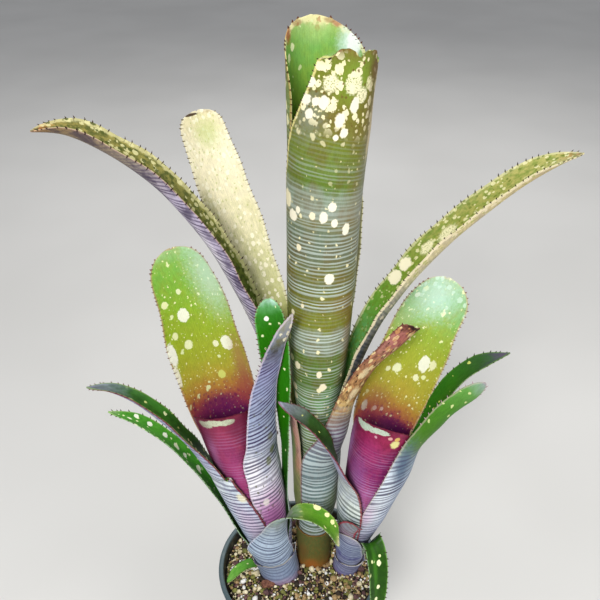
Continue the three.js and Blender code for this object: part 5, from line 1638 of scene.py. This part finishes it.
        Side(((0, "2a0f20"), (140, "4a1836")), "2a0a20", 0.4, margin="5a1028"),
        60, "5a1424", 1.2, 3.8,
    ),
    "right_spotted_leaf": LeafLook(
        "spotted_green",
        Side(((0, "7f8f80"), (120, "6f8f60"), (203, "5f6a58")), "5f8a3c", 0.4, 8,
             Bands("b9c4c0", 3.4, 0.4, ((0, 0.7), (130, 0.3), (160, 0))), margin="8a9a6a"),
        Side(
            ((0, "2a5a1c"), (120, "2c6c10"), (165, "306c16"), (185, "33522a"), (196, "4c4458"),
             (203, "5a4a60")),
            "256014", 0.4, 8,
            spots=(Spots("dfe67a", 5.5, 0.42, 0.15, ((0, 0), (110, 1), (175, 1), (190, 0))),),
            margin="55802c", margin_width=0.8, rough=0.36,
        ),
        95, "2a2a1c", 1.2, 4.6,
    ),
    "right_silver_leaf": LeafLook(
        "silver_sheath",
        silver(
            ((0, "8f86a8"), (50, "a09cb6"), (90, "b4bfd0"), (118, "a8b6c6"), (136, "7c8c94"), (146, "56783c"),
             (160, "3f6e18"), (180, "437a1e"), (194, "5c9040"), (202, "86a08c"), (206, "948a98")),
            "33284c", spacing=3.4, width=0.38, strength=((0, 0.8), (118, 0.85), (140, 0.5), (154, 0)),
            sag=0.5,
            patches=(Patch("e8edf0", -20, 96, 9, 3.4, 0.9, 0.75, under=True),
                     Patch("d8e2ea", -16, 125, 6, 3, 0.9, 0.6, under=True),
                     Patch("c890b8", -22, 82, 5, 2.6, 0.9, 0.5, under=True),
                     Patch("50657a", -8.5, 132, 5, 3, 0.8, 0.9, under=True)),
            mottle="94a6bc", mottle_amount=0.5, mottle_reach=((0, 1), (124, 1), (146, 0)),
            spots=(Spots("dfe6a0", 5, 0.3, 0.16, ((0, 0), (150, 0.2), (170, 0.7))),),
            margin="c4b0a0", margin_width=1.1,
        ),
        Side(((0, "2a5a1c"), (130, "3a7a20"), (190, "4a8a2c"), (206, "a08aa8")), "256014", 0.4,
             margin="7aa050"),
        110, "a08088", 1.4, 3.8,
    ),
    "right_crossing_leaf": LeafLook(
        "dark_green",
        silver(
            ((0, "9a94b0"), (50, "a4b0b8"), (70, "c4d0cc"), (85, "dde4de"), (104, "d0d6d4"), (122, "a8a4bc"),
             (150, "9a98b4"), (187, "a4a2b8")),
            "3c4c48", spacing=3.9, width=0.44, strength=((0, 0.9), (78, 0.9), (92, 0.5), (112, 0.4),
                                                         (150, 0.15)), sag=0.5,
            patches=(Patch("3c5230", 2, 64, 8, 0.9, 0.8, 0.6),),
            margin="8a2434", margin_width=1.4, margin_amount=0.85,
        ),
        Side(
            ((0, "20361c"), (90, "243f14"), (130, "26461a"), (162, "2c4e1c"), (174, "6a7470"),
             (187, "a4a6ba")),
            "162c0e", 0.45, 8,
            spots=(Spots("dfe080", 6, 0.35, 0.14, ((0, 0), (90, 1), (166, 1), (176, 0))),),
            margin="6a2a2c", margin_width=0.6, rough=0.36,
        ),
        85, "4a2420", 1.1, 4.6,
    ),
    "right_drooping_leaf": LeafLook(
        "spotted_green",
        silver(((0, "8f8aa4"), (40, "94a090"), (60, "6f9a50"), (115, "7fa860")), "4a5a58",
               strength=((0, 0.8), (50, 0.3), (62, 0)), mottle="6a8a50"),
        Side(
            ((0, "244a10"), (40, "244e0a"), (62, "28540a"), (90, "224a06"), (108, "386214"), (115, "8cac60")),
            "183c04", 0.5, 6,
            patches=(Patch("eef4c0", 2.2, 72.5, 1.7), Patch("eef4c0", 0.8, 90, 1.3),
                     Patch("eef4c0", -0.9, 99, 1.3), Patch("3f7c18", -1.2, 76, 1.6, 9, 0.8, 0.7, under=True),
                     Patch("e4ecaa", 3.6, 68, 0.9), Patch("e4ecaa", -3.4, 70, 1.0)),
            spots=(Spots("e4ecaa", 6, 0.3, 0.12),), margin="6aa040", margin_width=0.8, rough=0.36,
        ),
        44, "3a3a1c", 1.0, 4.4,
    ),
    "right_small_leaf": LeafLook(
        "dark_green",
        silver(((0, "9a90ac"), (45, "b4a8bc"), (58, "a08aa0"), (82, "6a7a60")), "6a2a3c",
               strength=((0, 0.7), (60, 0.5)), margin="9a2a3a", margin_width=1.2, margin_amount=0.85),
        Side(((0, "20401c"), (50, "265020"), (72, "2f5a26"), (82, "8a7a8c")), "1c3c16", 0.4, 6,
             spots=(Spots("cfe080", 5, 0.3, 0.14),), margin="5a2a2c", margin_width=0.6, rough=0.36),
        50, "7a2a34", 1.0, 4.4,
    ),
    "right_scale_leaf": LeafLook(
        "silver_sheath",
        silver(
            ((0, "8a7aa4"), (14, "8e86ae"), (27, "8f94b4"), (31, "5a5a94"), (35, "8a94b2"), (48, "98a4bc"),
             (60.3, "a8a4b4")),
            "4c4f78", spacing=2.6, width=0.42, strength=((0, 0.7), (60, 0.8)), sag=-1.4, mottle="b4c0d0",
        ),
        Side(((0, "5a5068"), (60, "7a7f94")), "5a5068", 0.3), 999,
    ),
    "right_base_ring": LeafLook(
        "silver_sheath",
        silver(((0, "8f5a80"), (7, "86709a"), (12, "7c7ca4"), (22.3, "8f94b4")), "443f6c", spacing=3.2,
               strength=((0, 0.25), (22, 0.65)), sag=-1.6, margin="8f86a8"),
        Side(((0, "5a5068"), (22, "6a6880")), "5a5068", 0.3), 999,
    ),
}


def soil_height(x: Any, y: Any) -> Any:
    """Returns the height of the bare mix at a place, in millimetres."""
    swell = np.sin(x * 0.31 + 1.3) * np.cos(y * 0.27 - 0.6) + 0.6 * np.sin(x * 0.13 - y * 0.19)
    return SOIL_Z + SOIL_BUMP * 0.6 * swell


def pot_radius(z: float) -> float:
    """Returns the pot's outer radius below the lip, in millimetres."""
    return POT_BASE_RADIUS + (POT_RIM_RADIUS - LIP_OUT - POT_BASE_RADIUS) * z / POT_HEIGHT


@dataclass
class Pot:
    """The round tapered pot: a spun wall, a rounded lip and drain holes."""

    sides: int = 112
    lip_round: float = 1.3

    def profile(self) -> list[tuple[float, float]]:
        """Returns the wall's closed outline as radius and height, in millimetres."""
        top, wall = POT_HEIGHT, POT_WALL
        lip_low = top - LIP_HEIGHT
        points = [(0.0, 0.0), (POT_BASE_RADIUS - 1.2, 0.0), (POT_BASE_RADIUS - 0.35, 0.35),
                  (POT_BASE_RADIUS, 1.2)]
        points += [(pot_radius(z), z) for z in np.linspace(6, lip_low - 0.8, 14)]
        points += [(pot_radius(lip_low) + 0.2, lip_low - 0.2), (POT_RIM_RADIUS - 0.5, lip_low + 0.1)]
        centre = POT_RIM_RADIUS - self.lip_round
        for degrees in range(0, 91, 15):
            turn = math.radians(degrees)
            fall = self.lip_round * (1 - math.sin(turn))
            points.append((centre + self.lip_round * math.cos(turn), top - fall))
        inner = pot_radius(top) - wall
        points += [(inner + 0.8, top), (inner + 0.25, top - 0.2), (inner, top - 0.8)]
        points += [(pot_radius(z) - wall, z) for z in np.linspace(top - 4, POT_FLOOR + 2, 10)]
        points += [(pot_radius(POT_FLOOR) - wall - 1.0, POT_FLOOR), (0.0, POT_FLOOR)]
        return points

    def build(self, effects: Effects) -> bpy.types.Object:
        """Spins the wall, cuts the drain holes and dresses the pot.

        Args:
            effects: The shared node groups.

        Returns:
            The finished pot.
        """
        points = [Vector((r, 0, z)) * MM for r, z in self.profile()]
        deselect()
        bpy.ops.mesh.primitive_circle_add(vertices=len(points), radius=0.01)
        pot = bpy.context.object
        ring = sorted(pot.data.vertices, key=lambda vertex: vertex.index)
        for vertex, point in zip(ring, points):
            vertex.co = point
        bpy.ops.object.mode_set(mode="EDIT")
        bpy.ops.mesh.select_all(action="SELECT")
        bpy.ops.mesh.spin(steps=self.sides, dupli=False, angle=math.tau, center=(0, 0, 0), axis=(0, 0, 1))
        bpy.ops.mesh.select_all(action="SELECT")
        bpy.ops.mesh.remove_doubles(threshold=0.00002)
        bpy.ops.mesh.dissolve_degenerate(threshold=0.00001)
        bpy.ops.mesh.normals_make_consistent(inside=False)
        bpy.ops.object.mode_set(mode="OBJECT")
        self.drain(pot)
        smooth(pot, 35)
        dress(pot, self.material(effects))
        finish_piece(pot, "pot_dressed", "pot_plastic", "pot")
        return pot

    def drain(self, pot: bpy.types.Object) -> None:
        """Cuts the ring of drain holes through the floor of the pot."""
        for n in range(DRAIN_COUNT):
            angle = math.tau * n / DRAIN_COUNT
            place = (math.cos(angle) * DRAIN_RING * MM, math.sin(angle) * DRAIN_RING * MM, POT_FLOOR / 2 * MM)
            deselect()
            bpy.ops.mesh.primitive_cylinder_add(vertices=28, radius=DRAIN_RADIUS * MM, depth=0.012,
                                                location=place)
            cutter = bpy.context.object
            cut = pot.modifiers.new("drain", "BOOLEAN")
            cut.operation = "DIFFERENCE"
            cut.solver = "EXACT"
            cut.object = cutter
            deselect()
            pot.select_set(True)
            bpy.context.view_layer.objects.active = pot
            bpy.ops.object.modifier_apply(modifier=cut.name)
            bpy.data.objects.remove(cutter, do_unlink=True)

    @staticmethod
    def material(effects: Effects) -> bpy.types.Material:
        """Returns dull teal-grey plastic, dusty outside and stained dark inside."""
        material = bpy.data.materials.new("pot_finish")
        material.use_nodes = True
        n = Nodes(material.node_tree)
        shader = n.tree.nodes["Principled BSDF"]
        place = n.add("ShaderNodeTexCoord").outputs["Object"]
        axes = n.add("ShaderNodeSeparateXYZ")
        n.feed(axes.inputs[0], place)
        x, y, z = axes.outputs
        radius = n.math("SQRT", n.total(n.times(x, x), n.times(y, y)))
        wall = n.math("MULTIPLY_ADD", z, (POT_RIM_RADIUS - LIP_OUT - POT_BASE_RADIUS) / POT_HEIGHT, 0.0412)
        inside = n.math("SUBTRACT", 1.0, n.step(n.math("SUBTRACT", radius, wall), -0.0004, 0.0001))
        cloud = n.noise(place, 45.0, 4)
        colour = n.ramp(cloud, [(0.3, "243236"), (0.52, "2f4045"), (0.72, "42555a")])
        low = n.math("SUBTRACT", 1.0, n.step(z, 0.002, 0.02))
        colour = n.mix(n.times(low, 0.35), colour, paint("7f8076"))
        dust = n.step(n.noise(place, 210.0, 3), 0.56, 0.72)
        colour = n.mix(n.times(dust, 0.22), colour, paint("a9a696"))
        lip = n.step(z, POT_HEIGHT * MM - 0.0034, POT_HEIGHT * MM - 0.0005)
        colour = n.mix(n.times(lip, 0.55), colour, paint("56696d"))
        stain = n.ramp(n.noise(place, 130.0, 3), [(0.35, "1c1c18"), (0.6, "33332c"), (0.8, "5d5a49")])
        inner = n.times(inside, n.math("SUBTRACT", 1.0, n.step(z, 0.0935, 0.0952)))
        colour = n.mix(inner, colour, stain)
        n.feed(shader.inputs["Base Color"], colour)
        grit = n.group(effects.grit, Vector=place, Scale=700.0, Coarse=0.7)
        n.feed(shader.inputs["Roughness"], n.math("MULTIPLY_ADD", grit, 0.35, 0.24))
        bump = n.add("ShaderNodeBump")
        bump.inputs["Strength"].default_value = 0.3
        bump.inputs["Distance"].default_value = 0.0003
        n.feed(bump.inputs["Height"], grit)
        n.feed(shader.inputs["Normal"], bump.outputs[0])
        return material


class Grain(Enum):
    """The kinds of grain in the mix, each with a share, two colours and a roughness."""

    TAN_BARK = (0.2, "84683f", "c2a474", 0.85)
    CREAM_PUMICE = (0.18, "c4b68e", "efe4c0", 0.8)
    OLIVE_BARK = (0.23, "4f5426", "8f8c42", 0.85)
    PURPLE_BARK = (0.16, "40282a", "7c5854", 0.85)
    WHITE_STONE = (0.09, "d4d2cc", "faf8f2", 0.6)
    DARK_PEAT = (0.14, "17120c", "3a2e20", 0.95)

    @property
    def share(self) -> float:
        """Returns how much of the mix this is."""
        return self.value[0]


@dataclass
class PottingMix:
    """The gritty mix: a dark bed that fills the pot, grains on it and one bark chip."""

    seed: int = 20260
    grains: int = 3300
    smallest: float = 0.6
    largest: float = 2.5
    holes: tuple[tuple[float, float, float], ...] = ((10.8, 13, 12.6), (-14, 2, 15.2), (34, 5, 10.3))
    chip: tuple[float, float] = (-21.8, -12.0)
    rings: int = 26

    def reach(self) -> float:
        """Returns the mix's radius at its top."""
        return pot_radius(SOIL_Z) - POT_WALL - FIT_GAP

    def build(self, effects: Effects) -> list[bpy.types.Object]:
        """Makes the bed, the grains and the chip.

        Args:
            effects: The shared node groups.

        Returns:
            The finished pieces.
        """
        pieces = [self.bed(effects)]
        placed = self.scatter()
        kinds = list(Grain)
        random = np.random.default_rng(self.seed + 1)
        picks = random.choice(len(kinds), size=len(placed), p=[kind.share for kind in kinds])
        for index, kind in enumerate(kinds):
            pieces.append(self.pile(kind, placed[picks == index], random, effects))
        pieces.append(self.bark_chip(effects))
        for piece in pieces:
            finish_piece(piece, piece.name, "potting_mix", "potting_mix")
        return pieces

    def bed(self, effects: Effects) -> bpy.types.Object:
        """Makes the dark bed from a cylinder whose top is inset and roughened."""
        reach, low = self.reach(), POT_FLOOR + FIT_GAP
        deselect()
        bpy.ops.mesh.primitive_cylinder_add(
            vertices=120, radius=reach * MM, depth=(SOIL_Z - low) * MM,
            location=(0, 0, (SOIL_Z + low) / 2 * MM), end_fill_type="NGON",
        )
        bed = bpy.context.object
        bpy.ops.object.transform_apply(location=True, rotation=False, scale=False)
        bpy.ops.object.mode_set(mode="EDIT")
        bpy.ops.mesh.select_mode(type="FACE")
        bpy.ops.mesh.select_all(action="DESELECT")
        bpy.ops.object.mode_set(mode="OBJECT")
        for face in bed.data.polygons:
            face.select = face.normal.z > 0.9
        bpy.ops.object.mode_set(mode="EDIT")
        for _ in range(self.rings):
            bpy.ops.mesh.inset(thickness=reach * MM / (self.rings + 1.5), depth=0)
        bpy.ops.mesh.poke()
        bpy.ops.object.mode_set(mode="OBJECT")
        points = np.empty(len(bed.data.vertices) * 3)
        bed.data.vertices.foreach_get("co", points)
        points = points.reshape(-1, 3) / MM
        random = np.random.default_rng(self.seed)
        top = points[:, 2] > SOIL_Z - 1
        radius = np.hypot(points[:, 0], points[:, 1])
        lower = (pot_radius(low) - POT_WALL - FIT_GAP) / reach
        points[~top, :2] *= lower
        rise = soil_height(points[:, 0], points[:, 1]) + random.uniform(-0.5, 0.35, len(points)) - 0.9
        for x, y, hole in self.holes:
            away = np.hypot(points[:, 0] - x, points[:, 1] - y)
            rise -= 11 * np.clip((hole - 1.6 - away) / 3.0, 0, 1)
        points[top, 2] = np.where(radius[top] > reach - 0.2, SOIL_Z - 0.9, rise[top])
        bed.data.vertices.foreach_set("co", (points * MM).ravel())
        bed.data.update()
        smooth(bed, 60)
        dress(bed, self.material("mix_bed_finish", "17120c", "3b2f20", 0.95, effects))
        bed.name = "mix_bed"
        return bed

    def scatter(self) -> np.ndarray:
        """Chooses the grains' places.

        Returns:
            Rows of x, y, z and size in millimetres.
        """
        random = np.random.default_rng(self.seed)
        reach = self.reach()
        placed = np.zeros((self.grains, 4))
        count, tries = 0, 0
        while count < self.grains and tries < 90000:
            tries += 1
            layer = 0 if count < self.grains * 0.62 else 1
            size = self.smallest + (self.largest - self.smallest) * random.random() ** 2.2
            radius, angle = (reach - size) * math.sqrt(random.random()), random.uniform(0, math.tau)
            x, y = radius * math.cos(angle), radius * math.sin(angle)
            if any(math.hypot(x - hx, y - hy) < hole + size * 0.2 for hx, hy, hole in self.holes):
                continue
            on_leaf = -53 < x < -29 and abs(y + 0.2 - (x + 37) * 0.75) < 7.5
            on_chip = math.hypot(x - self.chip[0], (y - self.chip[1]) * 1.4) < 4.5
            if layer and (on_leaf or on_chip):
                continue
            near = placed[:count]
            gap = np.hypot(near[:, 0] - x, near[:, 1] - y) - 0.72 * (near[:, 3] + size)
            same = np.abs(near[:, 2] - (layer * 1.3 + SOIL_Z)) < 0.9
            if count and (gap[same] < 0).any():
                continue
            sink = -1.3 if on_leaf else -0.25
            placed[count] = (x, y, soil_height(x, y) + sink + layer * 1.35, size)
            count += 1
        return placed[:count]

    def pile(
        self, kind: Grain, spots: np.ndarray, random: np.random.Generator, effects: Effects,
    ) -> bpy.types.Object:
        """Merges all grains of one kind into one piece.

        Args:
            kind: Which grains.
            spots: Their places and sizes.
            random: Source of their shapes.
            effects: The shared node groups.

        Returns:
            The piece.
        """
        deselect()
        bpy.ops.mesh.primitive_ico_sphere_add(subdivisions=2, radius=1.0, calc_uvs=False)
        piece = bpy.context.object
        source = np.array([vertex.co[:] for vertex in piece.data.vertices])
        faces = np.array([face.vertices[:] for face in piece.data.polygons])
        flat = kind in (Grain.TAN_BARK, Grain.PURPLE_BARK, Grain.OLIVE_BARK)
        low, high = (0.55, 0.85) if flat else (0.75, 1.0)
        points, corners, tones = [], [], []
        for index, (x, y, z, size) in enumerate(spots):
            pull = random.normal(0, 1, (7, 3))
            pull /= np.linalg.norm(pull, axis=1, keepdims=True)
            lump = source.copy()
            for normal in pull:
                level = random.uniform(0.6, 0.85)
                over = np.clip(lump @ normal - level, 0, None)
                lump -= over[:, None] * normal
            lump *= np.array([1.0, random.uniform(0.7, 1.0), random.uniform(low, high)])
            turn = Matrix.Rotation(random.uniform(0, math.tau), 3, "Z")
            turn = turn @ Matrix.Rotation(random.uniform(-0.6, 0.6), 3, "X")
            lump = lump @ np.array(turn).T * size * random.uniform(1.0, 1.2)
            points.append(lump + [x, y, z + size * 0.25])
            corners.append(faces + index * len(source))
            tones.append(np.full(len(source), random.random(), np.float32))
        mesh = bpy.data.meshes.new(f"mix_{kind.name.lower()}")
        mesh.from_pydata((np.concatenate(points) * MM).tolist(), [], np.concatenate(corners).tolist())
        tone = mesh.attributes.new("tone", "FLOAT", "POINT")
        tone.data.foreach_set("value", np.concatenate(tones))
        old = piece.data
        piece.data = mesh
        bpy.data.meshes.remove(old)
        smooth(piece, 32)
        piece.name = f"mix_{kind.name.lower()}"
        _, dark, light, rough = kind.value[:4]
        dress(piece, self.material(f"{piece.name}_finish", dark, light, rough, effects, True))
        return piece

    def bark_chip(self, effects: Effects) -> bpy.types.Object:
        """Makes the one larger piece of bark from a cube that is cut and roughened."""
        x, y = self.chip
        deselect()
        bpy.ops.mesh.primitive_cube_add(size=1)
        chip = bpy.context.object
        bpy.ops.object.mode_set(mode="EDIT")
        bpy.ops.mesh.select_all(action="SELECT")
        bpy.ops.mesh.bevel(offset=0.14, segments=2, affect="EDGES")
        bpy.ops.mesh.select_all(action="SELECT")
        bpy.ops.mesh.subdivide(number_cuts=4, fractal=0.25, fractal_along_normal=0.6, seed=5)
        bpy.ops.object.mode_set(mode="OBJECT")
        turn = Matrix.Rotation(0.35, 4, "Z") @ Matrix.Rotation(0.25, 4, "Y")
        size = Matrix.Diagonal((0.0088, 0.0056, 0.0036, 1))
        chip.data.transform(Matrix.Translation(Vector((x, y, soil_height(x, y) + 1.5)) * MM) @ turn @ size)
        smooth(chip, 40)
        dress(chip, self.material("bark_chip_finish", "5c3426", "8f5f48", 0.85, effects))
        chip.name = "mix_bark_chip"
        return chip

    @staticmethod
    def material(
        name: str, dark: str, light: str, rough: float, effects: Effects, toned: bool = False,
    ) -> bpy.types.Material:
        """Makes an earthy finish.

        Args:
            name: The material's name.
            dark: Its dark colour.
            light: Its light colour.
            rough: Its roughness.
            effects: The shared node groups.
            toned: Whether each grain has its own tone.

        Returns:
            The material.
        """
        material = bpy.data.materials.new(name)
        material.use_nodes = True
        n = Nodes(material.node_tree)
        shader = n.tree.nodes["Principled BSDF"]
        place = n.add("ShaderNodeTexCoord").outputs["Object"]
        grit = n.group(effects.grit, Vector=place, Scale=1500.0, Coarse=0.8)
        fleck = n.step(n.noise(place, 700.0, 3), 0.35, 0.66)
        blend = n.total(n.times(fleck, 0.5), n.times(n.attribute("tone"), 0.5)) if toned else fleck
        colour = n.mix(blend, paint(dark), paint(light))
        pits = n.step(grit, 0.3, 0.46)
        n.feed(shader.inputs["Base Color"], n.mix(n.math("MULTIPLY_ADD", pits, 0.4, 0.6), paint("1a140d"),
                                                  colour))
        n.feed(shader.inputs["Roughness"], n.math("MULTIPLY_ADD", grit, 0.2, rough - 0.12, clamp=True))
        bump = n.add("ShaderNodeBump")
        bump.inputs["Strength"].default_value = 0.6
        bump.inputs["Distance"].default_value = 0.0004
        n.feed(bump.inputs["Height"], grit)
        n.feed(shader.inputs["Normal"], bump.outputs[0])
        return material


@dataclass(frozen=True)
class StemTissue:
    """Pale fibrous finish of the three short stems, which keep their solids."""

    nodes: tuple[str, ...] = ("mother_stem", "left_stem", "right_stem")

    def apply(self, nodes: dict[str, bpy.types.Object]) -> None:
        """Dresses the stems.

        Args:
            nodes: The CAD nodes by name.
        """
        material = bpy.data.materials.new("stem_finish")
        material.use_nodes = True
        n = Nodes(material.node_tree)
        shader = n.tree.nodes["Principled BSDF"]
        place = n.add("ShaderNodeTexCoord").outputs["Object"]
        axes = n.add("ShaderNodeSeparateXYZ")
        n.feed(axes.inputs[0], place)
        x, y, z = axes.outputs
        strands = n.noise(n.place(n.times(x, 1400.0), n.times(y, 1400.0), n.times(z, 160.0)), 1.0, 3)
        colour = n.ramp(strands, [(0.3, "8f8558"), (0.5, "b7ae7c"), (0.72, "d8d2ac")])
        n.feed(shader.inputs["Base Color"], colour)
        n.feed(shader.inputs["Roughness"], n.math("MULTIPLY_ADD", strands, 0.25, 0.55))
        bump = n.add("ShaderNodeBump")
        bump.inputs["Strength"].default_value = 0.5
        bump.inputs["Distance"].default_value = 0.0003
        n.feed(bump.inputs["Height"], strands)
        n.feed(shader.inputs["Normal"], bump.outputs[0])
        for name in self.nodes:
            dress(nodes[name], material)
            LOG.info("%s: dressed solid", name)


@dataclass
class Studio:
    """Pale floor, soft lights and the camera at the photo's viewing angle."""

    floor_size: float = 9.0
    camera_place: tuple[float, float, float] = (0.0007, -0.3132, 0.527)
    camera_tilt: float = 56.6
    lens: float = 42.0
    lights: tuple[tuple[str, tuple[float, float, float], float, float], ...] = (
        ("key", (-0.28, -0.95, 1.1), 0.4, 15.5),
        ("fill", (0.95, -0.5, 0.8), 0.8, 5.0),
        ("back", (0.1, 0.95, 1.2), 1.2, 8.0),
    )
    aim: tuple[float, float, float] = (0.0, 0.02, 0.24)

    def build(self) -> None:
        """Adds the floor, the lights, the sky and the camera."""
        self.floor()
        for name, place, size, power in self.lights:
            deselect()
            bpy.ops.object.light_add(type="AREA", location=place)
            lamp = bpy.context.object
            lamp.name = f"{name}_light"
            lamp.data.shape = "DISK"
            lamp.data.size = size
            lamp.data.energy = power
            lamp.rotation_euler = (Vector(self.aim) - Vector(place)).to_track_quat("-Z", "Y").to_euler()
        world = bpy.data.worlds.new("studio_world")
        world.use_nodes = True
        world.node_tree.nodes["Background"].inputs[0].default_value = (0.9, 0.93, 1.0, 1.0)
        world.node_tree.nodes["Background"].inputs[1].default_value = 0.4
        bpy.context.scene.world = world
        deselect()
        bpy.ops.object.camera_add(location=self.camera_place, rotation=(math.radians(self.camera_tilt), 0, 0))
        camera = bpy.context.object
        camera.data.lens = self.lens
        camera.data.sensor_width = 36.0
        camera.data.clip_start = 0.01
        bpy.context.scene.camera = camera
        bpy.context.scene.view_settings.view_transform = "Standard"

    def floor(self) -> None:
        """Adds the plain pale floor."""
        deselect()
        bpy.ops.mesh.primitive_plane_add(size=self.floor_size)
        floor = bpy.context.object
        floor.name = "floor"
        material = bpy.data.materials.new("floor_finish")
        material.use_nodes = True
        n = Nodes(material.node_tree)
        shader = n.tree.nodes["Principled BSDF"]
        place = n.add("ShaderNodeTexCoord").outputs["Object"]
        n.feed(shader.inputs["Base Color"], n.ramp(n.noise(place, 3.0, 2),
                                                   [(0.3, "cfcdc8"), (0.7, "d6d4cf")]))
        shader.inputs["Roughness"].default_value = 0.85
        dress(floor, material)


def main() -> None:
    """Builds every sub-assembly in order."""
    logging.basicConfig(level=logging.INFO, format="%(name)s: %(message)s")
    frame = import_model()
    effects = Effects()
    finish = LeafFinish(effects)
    StemTissue().apply(frame["nodes"])
    Pot().build(effects)
    PottingMix().build(effects)
    for number, (name, shape) in enumerate(SHAPES.items()):
        LeafPiece(name, shape, LOOKS[name], seed=number + 11).build(finish)
    Studio().build()


if __name__ == "__main__":
    main()
